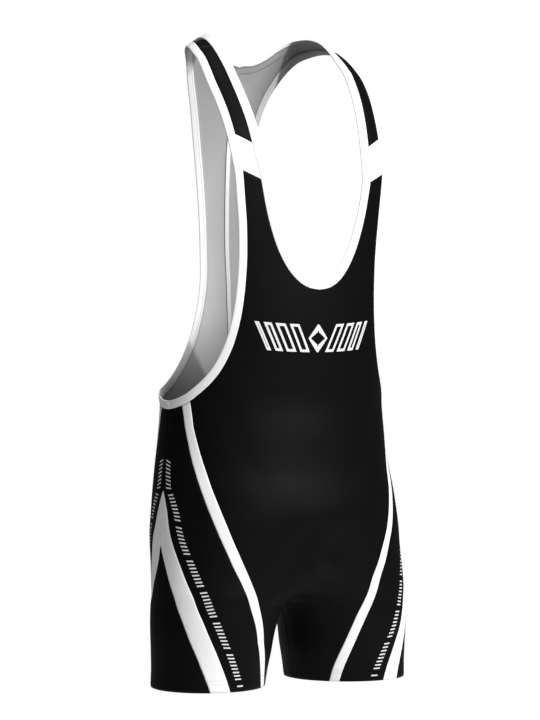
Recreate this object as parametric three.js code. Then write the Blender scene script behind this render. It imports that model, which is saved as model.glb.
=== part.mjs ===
// Wrestling singlet, worn shape with no wearer. Millimetres, +Z up, front toward -Y.
// The origin is the middle of the line over both shoulders, where the wearer holds it up.
import * as THREE from 'three';

const WALL = 1.2;            // thickness of the knit cloth
const SEAM_GAP = 0.3;        // clear space between two sewn pieces
const NECK_BINDING = 12;     // width of the folded strip round the neck
const ARM_BINDING = 9.6;     // width of the folded strip round each armhole
const BINDING_PROUD = 0.5;   // how far a binding stands out over the cloth
const BINDING_DEEP = 1.7;    // how far a binding reaches inside the cloth's outer face
const TAPE_WIDTH = 5.5;      // width of the tape along the inside of the back seam
const TAPE_THICK = 1.0;      // thickness of that tape
const TAPE_GAP = 0.3;        // clear space between back and tape
const TAPE_STOP = 13;        // rows of the back under the tape's lower end
const Z_WAIST = -452;        // last level row under the armholes
const Z_ARM = -432;          // lowest point of the armhole seam
const Z_CROTCH = -662;       // where the two legs part
const Z_HEM = -756;          // bottom edge of both legs
const Z_APEX = -529;         // top of the pointed white stripe on the side
const Z_WEDGE = -594;        // top of the black wedge inside it
const OPEN_STEP = 180;       // steps round one half section

// Sections of the lower body, one row per level: middle x of the half, middle y,
// outer x, depth to the front and to the back, roundness, turn of the leg's oval,
// and how full the section still is at the middle, front and back.
const RING_COLUMNS = ['z', 'cx', 'cy', 'out', 'front', 'back', 'power', 'turn', 'fullF', 'fullB'];
const RINGS = [
  [-760, 95.6, -11, 165.0, 68.6, 71.0, 2.0, 3.0, 0, 0],
  [-740, 93.8, -12, 164.5, 68.3, 72.0, 2.0, 3.0, 0, 0],
  [-715, 91.4, -12.5, 165.0, 69.8, 72.5, 2.0, 2.8, 0, 0],
  [-690, 89.6, -12, 166.0, 73.0, 70.8, 2.0, 2.5, 0, 0],
  [-676, 87.2, -12.2, 165.8, 73.3, 72.2, 2.0, 2.2, 0, 0],
  [-662, 82.8, -12.5, 165.2, 74.0, 73.6, 2.0, 1.9, 0, 0],
  [-657, 80.6, -13.4, 164.8, 74.2, 75.4, 2.01, 1.7, 0.48, 0.45],
  [-650, 77.0, -15, 164.3, 74.5, 77.6, 2.02, 1.5, 0.74, 0.70],
  [-631, 65.0, -15, 163.0, 76.0, 85.0, 2.06, 1.0, 1.02, 0.95],
  [-612, 48.0, -14, 161.3, 79.7, 92.5, 2.1, 0.4, 1.11, 1.03],
  [-594, 27.0, -12, 160.4, 87.5, 99.5, 2.13, 0, 1.06, 1.02],
  [-575, 12.0, -9.5, 160.0, 95.8, 104.0, 2.1, 0, 1.02, 1.01],
  [-557, 1.0, -7.5, 159.0, 102.0, 105.0, 2.03, 0, 1, 1],
  [-530, 0.5, -4.5, 156.0, 103.0, 102.0, 2.0, 0, 1, 1],
  [-503, 0.5, -1.5, 151.8, 100.0, 99.0, 2.0, 0, 1, 1],
  [-466, 0.5, -0.5, 147.0, 97.0, 96.0, 2.0, 0, 1, 1],
  [-421, 0.5, 0, 143.6, 94.0, 94.0, 2.0, 0, 1, 1],
].map((row) => Object.fromEntries(RING_COLUMNS.map((name, i) => [name, row[i]])));

// Front of the chest over the waist: half width and depth of the oval at each level.
const CHEST = [
  { z: -421, wide: 143.6, deep: 94.0 },
  { z: -398, wide: 144.0, deep: 96.0 },
  { z: -375, wide: 144.7, deep: 98.5 },
  { z: -352, wide: 146.0, deep: 100.5 },
  { z: -306, wide: 151.6, deep: 103.0 },
  { z: -260, wide: 163.0, deep: 103.9 },
  { z: -214, wide: 176.0, deep: 105.3 },
  { z: -168, wide: 188.0, deep: 106.0 },
];

// Lower back over the waist, in the same way.
const LOINS = [
  { z: -421, wide: 143.6, deep: 94.0 },
  { z: -386, wide: 145.0, deep: 96.0 },
  { z: -353, wide: 147.0, deep: 98.5 },
  { z: -305, wide: 149.0, deep: 101.0 },
];

// Seam lines of the lower body at each level, in millimetres round the cloth from the
// outermost line of the hip. The front is negative. The back seams mirror the front ones
// about the side seam.
const LINES = [
  { z: -421, side: -4.0, stripeOut: -22.5, stripeIn: -33.0, chevronOut: -4.0, chevronIn: -4.0 },
  { z: -430, side: -4.0, stripeOut: -25.0, stripeIn: -35.8, chevronOut: -4.0, chevronIn: -4.0 },
  { z: -449, side: -4.0, stripeOut: -30.7, stripeIn: -41.9, chevronOut: -4.0, chevronIn: -4.0 },
  { z: -467, side: -4.2, stripeOut: -36.6, stripeIn: -48.4, chevronOut: -4.2, chevronIn: -4.2 },
  { z: -485, side: -4.4, stripeOut: -42.9, stripeIn: -55.7, chevronOut: -4.4, chevronIn: -4.4 },
  { z: -503, side: -4.8, stripeOut: -50.4, stripeIn: -63.9, chevronOut: -4.8, chevronIn: -4.8 },
  { z: -514, side: -5.4, stripeOut: -55.2, stripeIn: -68.9, chevronOut: -5.4, chevronIn: -5.4 },
  { z: -525, side: -6.2, stripeOut: -60.2, stripeIn: -73.9, chevronOut: -6.2, chevronIn: -6.2 },
  { z: -532, side: -6.4, stripeOut: -63.4, stripeIn: -77.3, chevronOut: -9.3, chevronIn: -6.4 },
  { z: -550, side: -5.9, stripeOut: -71.4, stripeIn: -85.5, chevronOut: -15.4, chevronIn: -5.9 },
  { z: -568, side: -3.9, stripeOut: -79.3, stripeIn: -93.3, chevronOut: -18.9, chevronIn: -3.9 },
  { z: -581, side: -1.9, stripeOut: -84.4, stripeIn: -98.1, chevronOut: -22.1, chevronIn: -1.9 },
  { z: -588, side: -1.6, stripeOut: -87.0, stripeIn: -100.5, chevronOut: -24.4, chevronIn: -1.6 },
  { z: -594, side: -1.5, stripeOut: -89.3, stripeIn: -102.8, chevronOut: -26.7, chevronIn: -3.0 },
  { z: -612, side: -1.5, stripeOut: -96.5, stripeIn: -110.1, chevronOut: -34.0, chevronIn: -9.7 },
  { z: -631, side: -1.2, stripeOut: -106.2, stripeIn: -119.6, chevronOut: -43.2, chevronIn: -18.5 },
  { z: -649, side: -0.4, stripeOut: -115.6, stripeIn: -128.8, chevronOut: -52.9, chevronIn: -27.6 },
  { z: -668, side: 0.6, stripeOut: -126.4, stripeIn: -140.0, chevronOut: -63.9, chevronIn: -38.7 },
  { z: -690, side: 1.0, stripeOut: -135.7, stripeIn: -148.8, chevronOut: -73.8, chevronIn: -48.5 },
  { z: -712, side: 0.8, stripeOut: -140.9, stripeIn: -153.4, chevronOut: -81.4, chevronIn: -56.5 },
  { z: -731, side: 0.4, stripeOut: -145.6, stripeIn: -158.4, chevronOut: -88.1, chevronIn: -63.4 },
  { z: -760, side: 0.0, stripeOut: -155.0, stripeIn: -166.4, chevronOut: -99.6, chevronIn: -75.6 },
];

// Bottom of the armhole seam: height at each distance round from the hip's outer line.
const ARM_DIP = [
  { round: -48, z: -416.8 },
  { round: -36, z: -422.4 },
  { round: -25, z: -427.3 },
  { round: -14, z: -430.6 },
  { round: -4, z: -432 },
  { round: 6, z: -431.5 },
  { round: 17, z: -430 },
  { round: 28, z: -427 },
  { round: 40, z: -423 },
];

// Armhole seam on the chest, from the front stripe up to the white band on the strap.
const ARM_FRONT = [
  { x: 130.2, z: -418.0 },
  { x: 123.4, z: -409.3 },
  { x: 115.3, z: -397.7 },
  { x: 109.0, z: -386.2 },
  { x: 104.2, z: -374.7 },
  { x: 100.2, z: -363.2 },
  { x: 97.1, z: -351.7 },
  { x: 92.7, z: -328.7 },
  { x: 90.2, z: -305.8 },
  { x: 88.9, z: -282.9 },
  { x: 88.5, z: -260.0 },
  { x: 89.3, z: -237.1 },
  { x: 90.8, z: -214.3 },
  { x: 93.1, z: -191.5 },
  { x: 96.4, z: -157.5 },
];

// Neck seam on the chest, from its lowest point up to the white band on the strap.
const NECK_FRONT = [
  { x: 0.0, z: -293.5 },
  { x: 14.5, z: -291.0 },
  { x: 27.6, z: -283.6 },
  { x: 39.2, z: -271.6 },
  { x: 46.9, z: -259.8 },
  { x: 52.9, z: -248.3 },
  { x: 57.6, z: -236.9 },
  { x: 61.6, z: -225.5 },
  { x: 65.1, z: -214.1 },
  { x: 68.1, z: -202.7 },
  { x: 70.6, z: -191.3 },
  { x: 75.2, z: -167.5 },
];

// Ribs of the front strap, from the white band up to the shoulder seam: neck side,
// arm side, and how far the middle bulges out.
const STRAP = [
  { nx: 75.2, ny: -97.2, nz: -167.5, ax: 96.4, ay: -91.0, az: -157.5, crown: 0.3 },
  { nx: 77.8, ny: -91.6, nz: -146.0, ax: 97.9, ay: -85.2, az: -136.0, crown: 0.5 },
  { nx: 80.0, ny: -85.6, nz: -125.5, ax: 99.4, ay: -78.6, az: -115.5, crown: 0.7 },
  { nx: 82.5, ny: -76.3, nz: -99.5, ax: 101.4, ay: -67.4, az: -90.0, crown: 1.0 },
  { nx: 85.3, ny: -64.2, nz: -75.1, ax: 103.4, ay: -55.6, az: -69.5, crown: 1.2 },
  { nx: 87.2, ny: -51.5, nz: -55.0, ax: 104.6, ay: -45.0, az: -54.5, crown: 1.4 },
  { nx: 88.2, ny: -37.0, nz: -35.5, ax: 104.3, ay: -34.2, az: -40.5, crown: 1.5 },
];

// Ribs of the back, from the shoulder seam over the shoulder, down the narrow middle and
// out under the arms: neck or middle side, arm side, and bulge of the middle.
const BACK = [
  { nx: 88.2, ny: -37.0, nz: -35.5, ax: 104.3, ay: -34.2, az: -40.5, crown: 1.5 },
  { nx: 86.8, ny: -18.0, nz: -18.6, ax: 101.4, ay: -15.5, az: -23.0, crown: 1.4 },
  { nx: 85.4, ny: -3.0, nz: -8.0, ax: 99.0, ay: 1.5, az: -12.5, crown: 1.2 },
  { nx: 83.4, ny: 15.0, nz: 1.0, ax: 95.0, ay: 19.0, az: -4.0, crown: 1.0 },
  { nx: 80.6, ny: 33.0, nz: 4.2, ax: 89.0, ay: 36.5, az: -1.0, crown: 0.6 },
  { nx: 76.6, ny: 49.0, nz: 3.4, ax: 82.0, ay: 52.5, az: -3.0, crown: 0.4 },
  { nx: 68.6, ny: 62.0, nz: 0.0, ax: 73.0, ay: 66.5, az: -8.5, crown: 0.4 },
  { nx: 56.6, ny: 71.0, nz: -7.0, ax: 63.6, ay: 78.5, az: -21.0, crown: 0.5 },
  { nx: 40.0, ny: 77.2, nz: -19.0, ax: 54.6, ay: 90.0, az: -39.0, crown: 0.8 },
  { nx: 20.5, ny: 80.0, nz: -28.0, ax: 46.0, ay: 99.0, az: -60.0, crown: 0.8 },
  { nx: 0.0, ny: 81.5, nz: -32.0, ax: 39.5, ay: 105.0, az: -84.0, crown: 0.6 },
  { nx: 0.0, ny: 92.5, nz: -74.0, ax: 34.8, ay: 108.0, az: -113.0, crown: 0.3 },
  { nx: 0.0, ny: 101.0, nz: -122.0, ax: 31.0, ay: 108.6, az: -150.0, crown: 0.2 },
  { nx: 0.0, ny: 105.0, nz: -178.0, ax: 28.5, ay: 108.0, az: -190.0, crown: 0.2 },
  { nx: 0.0, ny: 105.5, nz: -235.0, ax: 27.6, ay: 106.5, az: -238.0, crown: 0.3 },
  { nx: 0.0, ny: 103.4, nz: -285.0, ax: 31.0, ay: 103.2, az: -281.0, crown: 0.6 },
  { nx: 0.0, ny: 101.0, nz: -330.0, ax: 40.5, ay: 97.0, az: -323.0, crown: 1.0 },
  { nx: 0.0, ny: 98.2, nz: -365.0, ax: 56.0, ay: 90.4, az: -361.0, crown: 1.6 },
  { nx: 0.0, ny: 95.8, nz: -394.0, ax: 80.0, ay: 80.0, az: -393.0, crown: 3.0 },
  { nx: 0.0, ny: 94.8, nz: -412.0, ax: 104.0, ay: 65.0, az: -411.5, crown: 8.0 },
  { nx: 0.0, ny: 94.4, nz: -422.0, ax: 124.5, ay: 46.9, az: -420.0, crown: 12.0 },
];
const YOKE_RIB = 6.5;        // the rib where the shoulder piece meets the back
const NAPE_RIB = 10;         // the rib that starts at the back of the neck
const ROUND_FROM = 15;       // from this rib down the back follows the lower back's ovals

// Level rows of the lower body under the waist.
const LEVELS = [-452, -474, -501, -529, -550, -572, -594, -609, -622, -634, -643,
  -650, -655, -659, -661, -662, -665, -672, -684, -700, -718, -737, -756];
const TOP_ROWS = 2;          // rows between the armhole seam and the first level row

const BLACK = new THREE.MeshStandardMaterial({ color: 0x111111, roughness: 0.75, metalness: 0 });
const WHITE = new THREE.MeshStandardMaterial({ color: 0xf0f0ee, roughness: 0.7, metalness: 0 });
const PALE = new THREE.MeshStandardMaterial({ color: 0xc9c9c6, roughness: 0.75, metalness: 0 });
BLACK.name = 'black knit';
WHITE.name = 'white knit';
PALE.name = 'white binding';

// Smooth value of one column of a table at a key, with no overshoot past its ends.
function look(table, key, at, name) {
  const sign = table[0][key] > table[table.length - 1][key] ? -1 : 1;
  const k = (i) => sign * table[i][key];
  const v = (i) => table[i][name];
  const x = sign * at;
  const last = table.length - 1;
  if (x <= k(0)) return v(0);
  if (x >= k(last)) return v(last);
  let i = 0;
  while (x > k(i + 1)) i += 1;
  const slope = (j) => {
    if (j === 0) return (v(1) - v(0)) / (k(1) - k(0));
    if (j === last) return (v(last) - v(last - 1)) / (k(last) - k(last - 1));
    const h0 = k(j) - k(j - 1);
    const h1 = k(j + 1) - k(j);
    const d0 = (v(j) - v(j - 1)) / h0;
    const d1 = (v(j + 1) - v(j)) / h1;
    return (d0 * h1 + d1 * h0) / (h0 + h1);
  };
  const h = k(i + 1) - k(i);
  const u = (x - k(i)) / h;
  const a = 2 * u ** 3 - 3 * u * u + 1;
  const b = u ** 3 - 2 * u * u + u;
  const c = -2 * u ** 3 + 3 * u * u;
  const d = u ** 3 - u * u;
  return a * v(i) + b * slope(i) * h + c * v(i + 1) + d * slope(i + 1) * h;
}

const mix = (a, b, t) => a + (b - a) * t;
const clamp = (t) => Math.min(1, Math.max(0, t));
const soft = (t) => clamp(t) ** 2 * (3 - 2 * clamp(t));

// The larger of two values with the corner between them rounded off.
function softMax(a, b, k) {
  if (k < 1e-6) return Math.max(a, b);
  return Math.max(a, b) + Math.max(k - Math.abs(a - b), 0) ** 2 / (4 * k);
}

// Point of the lower body at level z: x along the half, side -1 front or +1 back.
function lowerPoint(z, x, side) {
  const ring = {};
  for (const name of Object.keys(RINGS[0])) ring[name] = look(RINGS, 'z', z, name);
  const depth = side < 0 ? ring.front : ring.back;
  const full = z <= Z_CROTCH ? 0 : (side < 0 ? ring.fullF : ring.fullB);
  const outer = ring.out - ring.cx;
  let g = 0;
  if (x >= ring.cx) {
    g = Math.max(0, 1 - Math.min(1, (x - ring.cx) / outer) ** ring.power) ** (1 / ring.power);
  } else if (z <= Z_CROTCH) {
    g = Math.sqrt(Math.max(0, 1 - ((ring.cx - x) / outer) ** 2));
  } else if (full < 1) {
    const inner = ring.cx / Math.sqrt(Math.max(1e-9, 1 - full * full));
    const arc = (t) => Math.sqrt(Math.max(0, 1 - ((ring.cx - t) / inner) ** 2));
    const blend = 0.25 * full * soft((1 - full) / 0.2);
    g = softMax(arc(x), inner - ring.cx > x ? arc(-x) : 0, blend);
  } else {
    const t = (ring.cx - x) / ring.cx;
    g = 1 + (full - 1) * soft(t);
  }
  const lean = x >= ring.cx ? 1 : mix(soft((Z_CROTCH + 20 - z) / 20), 1, soft(x / ring.cx));
  const away = lean * (x - ring.cx) / outer;
  return [x - side * ring.turn * g * lean, ring.cy + side * depth * g - ring.turn * away];
}

// Half section at a level, from the front middle (or inseam) round the hip to the back
// middle (or inseam), as points with their distance round from the outermost one.
const sectionCache = new Map();
function section(z) {
  const key = z.toFixed(4);
  if (sectionCache.has(key)) return sectionCache.get(key);
  const points = [];
  const upper = z > -421;
  const cx = upper ? 0 : look(RINGS, 'z', z, 'cx');
  const out = upper ? 0 : look(RINGS, 'z', z, 'out');
  const inner = z <= Z_CROTCH ? Math.max(0, 2 * cx - out) : 0;
  for (const side of [-1, 1]) {
    for (let i = 0; i <= OPEN_STEP; i += 1) {
      if (side > 0 && i === 0) continue;
      const t = side < 0 ? i / OPEN_STEP : 1 - i / OPEN_STEP;
      if (upper) {
        const table = side < 0 ? CHEST : LOINS;
        const wide = look(table, 'z', z, 'wide');
        const deep = look(table, 'z', z, 'deep');
        points.push([wide * Math.sin(t * Math.PI / 2), side * deep * Math.cos(t * Math.PI / 2)]);
      } else {
        // Even steps of angle bunch the points where the section turns fastest.
        const bend = Math.max(0, t - 0.4) / 0.6;
        let x = t < 0.4 ? cx * (t / 0.4) : cx + (out - cx) * Math.sin(bend * Math.PI / 2);
        if (z <= Z_CROTCH) x = cx - (out - cx) * Math.cos(t * Math.PI);
        points.push(lowerPoint(z, Math.max(inner, x), side));
      }
    }
  }
  if (!upper && z > Z_CROTCH) {
    points[0][0] = 0;
    points[points.length - 1][0] = 0;
  }
  const round = [0];
  for (let i = 1; i < points.length; i += 1) {
    const [a, b] = [points[i - 1], points[i]];
    round.push(round[i - 1] + Math.hypot(b[0] - a[0], b[1] - a[1]));
  }
  const zero = round[OPEN_STEP];
  const made = { points, round: round.map((r) => r - zero), z };
  sectionCache.set(key, made);
  return made;
}

// Point of a section at a distance round, clamped to its ends.
function onSection(z, round) {
  const s = section(z);
  const n = s.round.length - 1;
  const r = Math.min(s.round[n], Math.max(s.round[0], round));
  let lo = 0;
  let hi = n;
  while (hi - lo > 1) {
    const mid = (lo + hi) >> 1;
    if (s.round[mid] <= r) lo = mid;
    else hi = mid;
  }
  const span = s.round[hi] - s.round[lo];
  const t = span > 0 ? (r - s.round[lo]) / span : 0;
  const [a, b] = [s.points[lo], s.points[hi]];
  return new THREE.Vector3(mix(a[0], b[0], t), mix(a[1], b[1], t), z);
}

const chestY = (x, z) => {
  if (z < -421) return lowerPoint(z, x, -1)[1];
  const wide = look(CHEST, 'z', z, 'wide');
  return -look(CHEST, 'z', z, 'deep') * Math.sqrt(Math.max(0, 1 - (x / wide) ** 2));
};
const loinsY = (x, z) => {
  if (z < -421) return lowerPoint(z, x, 1)[1];
  const wide = look(LOINS, 'z', z, 'wide');
  return look(LOINS, 'z', z, 'deep') * Math.sqrt(Math.max(0, 1 - (x / wide) ** 2));
};

// Distance round of a named seam line. Back lines mirror the front about the side seam.
function line(name, z) {
  if (name === 'frontMiddle') return section(z).round[0];
  if (name === 'backMiddle') return section(z).round[section(z).round.length - 1];
  const side = look(LINES, 'z', z, 'side');
  if (name === 'side') return side;
  const [where, which] = name.split(' ');
  const value = look(LINES, 'z', z, which);
  return where === 'front' ? value : 2 * side - value;
}

// Height of the top rows: they fan from the armhole seam down to the waist row.
function topHeight(round, share) {
  return mix(look(ARM_DIP, 'round', round, 'z'), Z_WAIST, share);
}

// Point of a seam line between the armhole seam (share 0) and the waist row (share 1).
function topPoint(name, share, shift) {
  const round = line(name, mix(Z_ARM, Z_WAIST, share)) + shift;
  return onSection(topHeight(round, share), round);
}

// Grid of a lower panel between two seam lines, from a top row to the hem.
function lowerGrid(from, to, columns, zTop, gapFrom = SEAM_GAP / 2, gapTo = SEAM_GAP / 2) {
  const rows = [];
  const point = (z, share) => mix(line(from, z) + gapFrom, line(to, z) - gapTo, share);
  if (zTop === undefined) {
    for (let i = 0; i < TOP_ROWS; i += 1) {
      const row = [];
      for (let j = 0; j <= columns; j += 1) {
        const nominal = mix(Z_ARM, Z_WAIST, i / TOP_ROWS);
        const round = point(nominal, j / columns);
        row.push(onSection(topHeight(round, i / TOP_ROWS), round));
      }
      rows.push(row);
    }
  }
  for (const z of LEVELS) {
    if (zTop !== undefined && z > zTop) continue;
    const row = [];
    for (let j = 0; j <= columns; j += 1) row.push(onSection(z, point(z, j / columns)));
    rows.push(row);
  }
  return rows;
}

// Polyline helper: a run of points resampled to shares of its length.
function along(points, shares) {
  const sums = [0];
  for (let i = 1; i < points.length; i += 1) {
    sums.push(sums[i - 1] + points[i].distanceTo(points[i - 1]));
  }
  const total = sums[sums.length - 1];
  return shares.map((share) => {
    const want = share * total;
    let i = 0;
    while (i < sums.length - 2 && sums[i + 1] < want) i += 1;
    const t = (want - sums[i]) / Math.max(1e-9, sums[i + 1] - sums[i]);
    return points[i].clone().lerp(points[i + 1], t);
  });
}
const even = (n) => Array.from({ length: n + 1 }, (_, i) => i / n);

// A smooth curve through points.
const curveThrough = (points) => new THREE.CatmullRomCurve3(points, false, 'centripetal');

// A smooth curve through the x and z columns of a table, as many points.
function flatCurve(table, steps) {
  return curveThrough(table.map((r) => new THREE.Vector3(r.x, 0, r.z))).getPoints(steps);
}

const BIB_COLUMNS = 10;
const BIB_BAND = 3;          // columns under the white band at the strap's foot
const BIB_ROWS = 12;

// Upper half of the front: a patch between the middle, the waist row, the stripe and
// armhole seams, and the neck with the foot of the strap. Row 0 is the top.
function bibRows() {
  const low = lowerGrid('frontMiddle', 'front stripeIn', BIB_COLUMNS, Z_WAIST, 0)[0];
  const bottom = low.map((p) => new THREE.Vector3(p.x, 0, p.z));
  const neck = flatCurve(NECK_FRONT, 200);
  const foot = neck[neck.length - 1].clone();
  const armEnd = ARM_FRONT[ARM_FRONT.length - 1];
  const armTop = new THREE.Vector3(armEnd.x, 0, armEnd.z);
  const drop = new THREE.Vector3(0, 0, -SEAM_GAP / 2);
  const neckShares = even(BIB_COLUMNS - BIB_BAND).map((t) => 0.35 * t * t + 0.65 * t);
  const top = along(neck, neckShares).map((p) => p.add(drop));
  for (let j = 1; j <= BIB_BAND; j += 1) {
    top.push(foot.clone().lerp(armTop, j / BIB_BAND).add(drop));
  }
  const stripe = [];
  for (let i = 0; i <= TOP_ROWS; i += 1) {
    const p = topPoint('front stripeIn', i / TOP_ROWS, -SEAM_GAP / 2);
    stripe.unshift(new THREE.Vector3(p.x, 0, p.z));
  }
  const corner = stripe[TOP_ROWS];
  const arm = flatCurve([{ x: corner.x, z: corner.z }, ...ARM_FRONT], 200);
  arm[arm.length - 1] = top[BIB_COLUMNS].clone();
  const right = [...stripe.slice(0, -1), ...along(arm, even(BIB_ROWS - TOP_ROWS))];
  const left = along([bottom[0], top[0]], even(BIB_ROWS));
  const rows = [];
  for (let i = 0; i <= BIB_ROWS; i += 1) {
    const v = i / BIB_ROWS;
    const row = [];
    for (let j = 0; j <= BIB_COLUMNS; j += 1) {
      const u = j / BIB_COLUMNS;
      const p = new THREE.Vector3();
      p.addScaledVector(left[i], 1 - u).addScaledVector(right[i], u);
      p.addScaledVector(bottom[j], 1 - v).addScaledVector(top[j], v);
      p.addScaledVector(bottom[0], -(1 - u) * (1 - v));
      p.addScaledVector(bottom[BIB_COLUMNS], -u * (1 - v));
      p.addScaledVector(top[0], -(1 - u) * v).addScaledVector(top[BIB_COLUMNS], -u * v);
      row.push(i === 0 ? low[j].clone() : new THREE.Vector3(p.x, chestY(p.x, p.z), p.z));
    }
    rows.push(row);
  }
  return rows.reverse();
}

// Rows of points between the two sides of a table of ribs, smooth along both sides.
function ribRows(table, ribs, columns, gapStart, gapEnd) {
  const neck = curveThrough(table.map((r) => new THREE.Vector3(r.nx, r.ny, r.nz)));
  const arm = curveThrough(table.map((r) => new THREE.Vector3(r.ax, r.ay, r.az)));
  const rows = [];
  for (const rib of ribs) {
    const at = rib / (table.length - 1);
    const a = neck.getPoint(at);
    const b = arm.getPoint(at);
    const ahead = Math.min(1, at + 1e-3);
    const behind = Math.max(0, at - 1e-3);
    const run = neck.getPoint(ahead).sub(neck.getPoint(behind)).normalize();
    run.add(arm.getPoint(ahead).sub(arm.getPoint(behind)).normalize()).normalize();
    const across = b.clone().sub(a);
    const out = across.clone().cross(run).normalize();
    const low = Math.floor(Math.min(rib, table.length - 1.001));
    const crown = mix(table[low].crown, table[low + 1].crown, rib - low);
    const bulge = crown * (Math.sign(out.y * a.y) || 1);
    let shift = 0;
    if (rib === ribs[0]) shift = gapStart;
    if (rib === ribs[ribs.length - 1]) shift = -gapEnd;
    const row = [];
    for (let j = 0; j <= columns; j += 1) {
      const u = j / columns;
      const p = a.clone().lerp(b, u).addScaledVector(out, bulge * 4 * u * (1 - u));
      row.push(p.addScaledVector(run, shift));
    }
    rows.push(row);
  }
  return rows;
}

const bandRibs = [0, 0.7, 1.4, 2];
const strapRibs = [2, 2.7, 3.4, 4.1, 4.8, 5.4, 6];
const yokeRibs = even(9).map((t) => t * YOKE_RIB);
const BACK_COLUMNS = 6;
const NAPE_ROW = 5;          // row of the back's grid at the back of the neck
const RACER_ROWS = 14;       // rows from there down to the armhole's lowest back point

// Half of the back, from the shoulder piece down to the hem, on the wearer's left.
function backRows() {
  const ribs = [];
  const lastRib = BACK.length - 1;
  for (let i = 0; i < NAPE_ROW; i += 1) ribs.push(mix(YOKE_RIB, NAPE_RIB, i / NAPE_ROW));
  for (let i = 0; i <= RACER_ROWS; i += 1) ribs.push(mix(NAPE_RIB, lastRib, i / RACER_ROWS));
  const rows = ribRows(BACK, ribs, BACK_COLUMNS, SEAM_GAP / 2, 0);
  rows.forEach((row, i) => {
    const rib = ribs[i];
    const share = soft((rib - ROUND_FROM + 1) / 2);
    for (const p of row) {
      if (rib >= ROUND_FROM - 1) p.y = mix(p.y, loinsY(p.x, p.z), share);
      if (rib >= NAPE_RIB && p.x < SEAM_GAP / 2) p.x = SEAM_GAP / 2;
    }
  });
  // Fanned rows lead from the last rib to the waist row.
  const low = lowerGrid('back stripeIn', 'backMiddle', BACK_COLUMNS, Z_WAIST);
  low.forEach((row) => row.reverse());
  const above = [];
  for (let i = 0; i < TOP_ROWS; i += 1) {
    const end = topPoint('back stripeIn', i / TOP_ROWS, SEAM_GAP / 2);
    const middle = mix(-431, Z_WAIST, i / TOP_ROWS);
    const row = [];
    for (let j = 0; j < BACK_COLUMNS; j += 1) {
      const u = j / BACK_COLUMNS;
      const x = mix(SEAM_GAP / 2, end.x, 1 - (1 - u) ** 1.25);
      const z = mix(middle, end.z, u * u);
      row.push(new THREE.Vector3(x, loinsY(x, z), z));
    }
    above.push([...row, end]);
  }
  for (const row of low) {
    const end = row[0];
    if (end.z >= Z_CROTCH) end.x = Math.max(end.x, SEAM_GAP / 2);
  }
  return [...rows, ...above, ...low];
}

// Directions of a skin's points: the mean of the faces round each.
function skinNormals(points, faces) {
  const normals = points.map(() => new THREE.Vector3());
  for (const [a, b, c] of faces) {
    const n = points[b].clone().sub(points[a]).cross(points[c].clone().sub(points[a]));
    for (const i of [a, b, c]) normals[i].add(n);
  }
  return normals.map((n) => n.normalize());
}

// Points that meet across a seam lean the same way, so that no wall cuts its neighbour.
function matchNormals(skins) {
  const reach = 4 * SEAM_GAP;
  const all = [];
  skins.forEach((skin) => skin.points.forEach((p, i) => all.push({ p, skin, i, n: skin.normals[i] })));
  for (const one of all) {
    const sum = new THREE.Vector3();
    for (const two of all) {
      if (Math.abs(one.p.z - two.p.z) > reach) continue;
      if (one.p.distanceTo(two.p) < reach && one.n.dot(two.n) > 0.5) sum.add(two.n);
    }
    one.mean = sum.normalize();
  }
  for (const one of all) one.skin.normals[one.i] = one.mean;
}

// Closed shell from a skin. The skin is the outer face, or lies lift over it.
function shell({ points, faces, normals }, thick, lift = 0) {
  const outer = points.map((p, i) => p.clone().addScaledVector(normals[i], lift));
  const inner = points.map((p, i) => p.clone().addScaledVector(normals[i], lift - thick));
  const count = points.length;
  const tris = [];
  const edges = new Map();
  for (const [a, b, c] of faces) {
    tris.push([a, b, c], [a + count, c + count, b + count]);
    for (const [p, q] of [[a, b], [b, c], [c, a]]) edges.set(`${p}_${q}`, [p, q]);
  }
  for (const [p, q] of edges.values()) {
    if (edges.has(`${q}_${p}`)) continue;
    tris.push([q, p, p + count], [q, p + count, q + count]);
  }
  return { points: [...outer, ...inner], tris };
}

// Mesh from points and triangles, with its own material.
function solid(name, made, material) {
  const geometry = new THREE.BufferGeometry();
  const flat = [];
  for (const p of made.points) flat.push(p.x, p.y, p.z);
  geometry.setAttribute('position', new THREE.Float32BufferAttribute(flat, 3));
  geometry.setIndex(made.tris.flat());
  geometry.computeVertexNormals();
  const mesh = new THREE.Mesh(geometry, material.clone());
  mesh.material.name = material.name;
  mesh.name = name;
  return mesh;
}

// Faces of a plain grid of rows, wound so that they look outward.
function gridFaces(rows, columns, start = 0, flip = false) {
  const faces = [];
  const at = (i, j) => start + i * (columns + 1) + j;
  for (let i = 0; i < rows - 1; i += 1) {
    for (let j = 0; j < columns; j += 1) {
      const [a, b, c, d] = [at(i, j), at(i, j + 1), at(i + 1, j + 1), at(i + 1, j)];
      if (flip) faces.push([a, c, b], [a, d, c]);
      else faces.push([a, b, c], [a, c, d]);
    }
  }
  return faces;
}

const mirrorRows = (rows) => rows.map((row) => row.map((p) => new THREE.Vector3(-p.x, p.y, p.z)));

// Skin of a panel from one grid, for the left (x > 0) or the right side.
function skin(name, rows, material, flip, right = false) {
  const grid = right ? mirrorRows(rows) : rows;
  const points = grid.flat();
  const faces = gridFaces(grid.length, grid[0].length - 1, 0, right ? !flip : flip);
  return { name, material, points, faces, normals: skinNormals(points, faces) };
}

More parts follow.
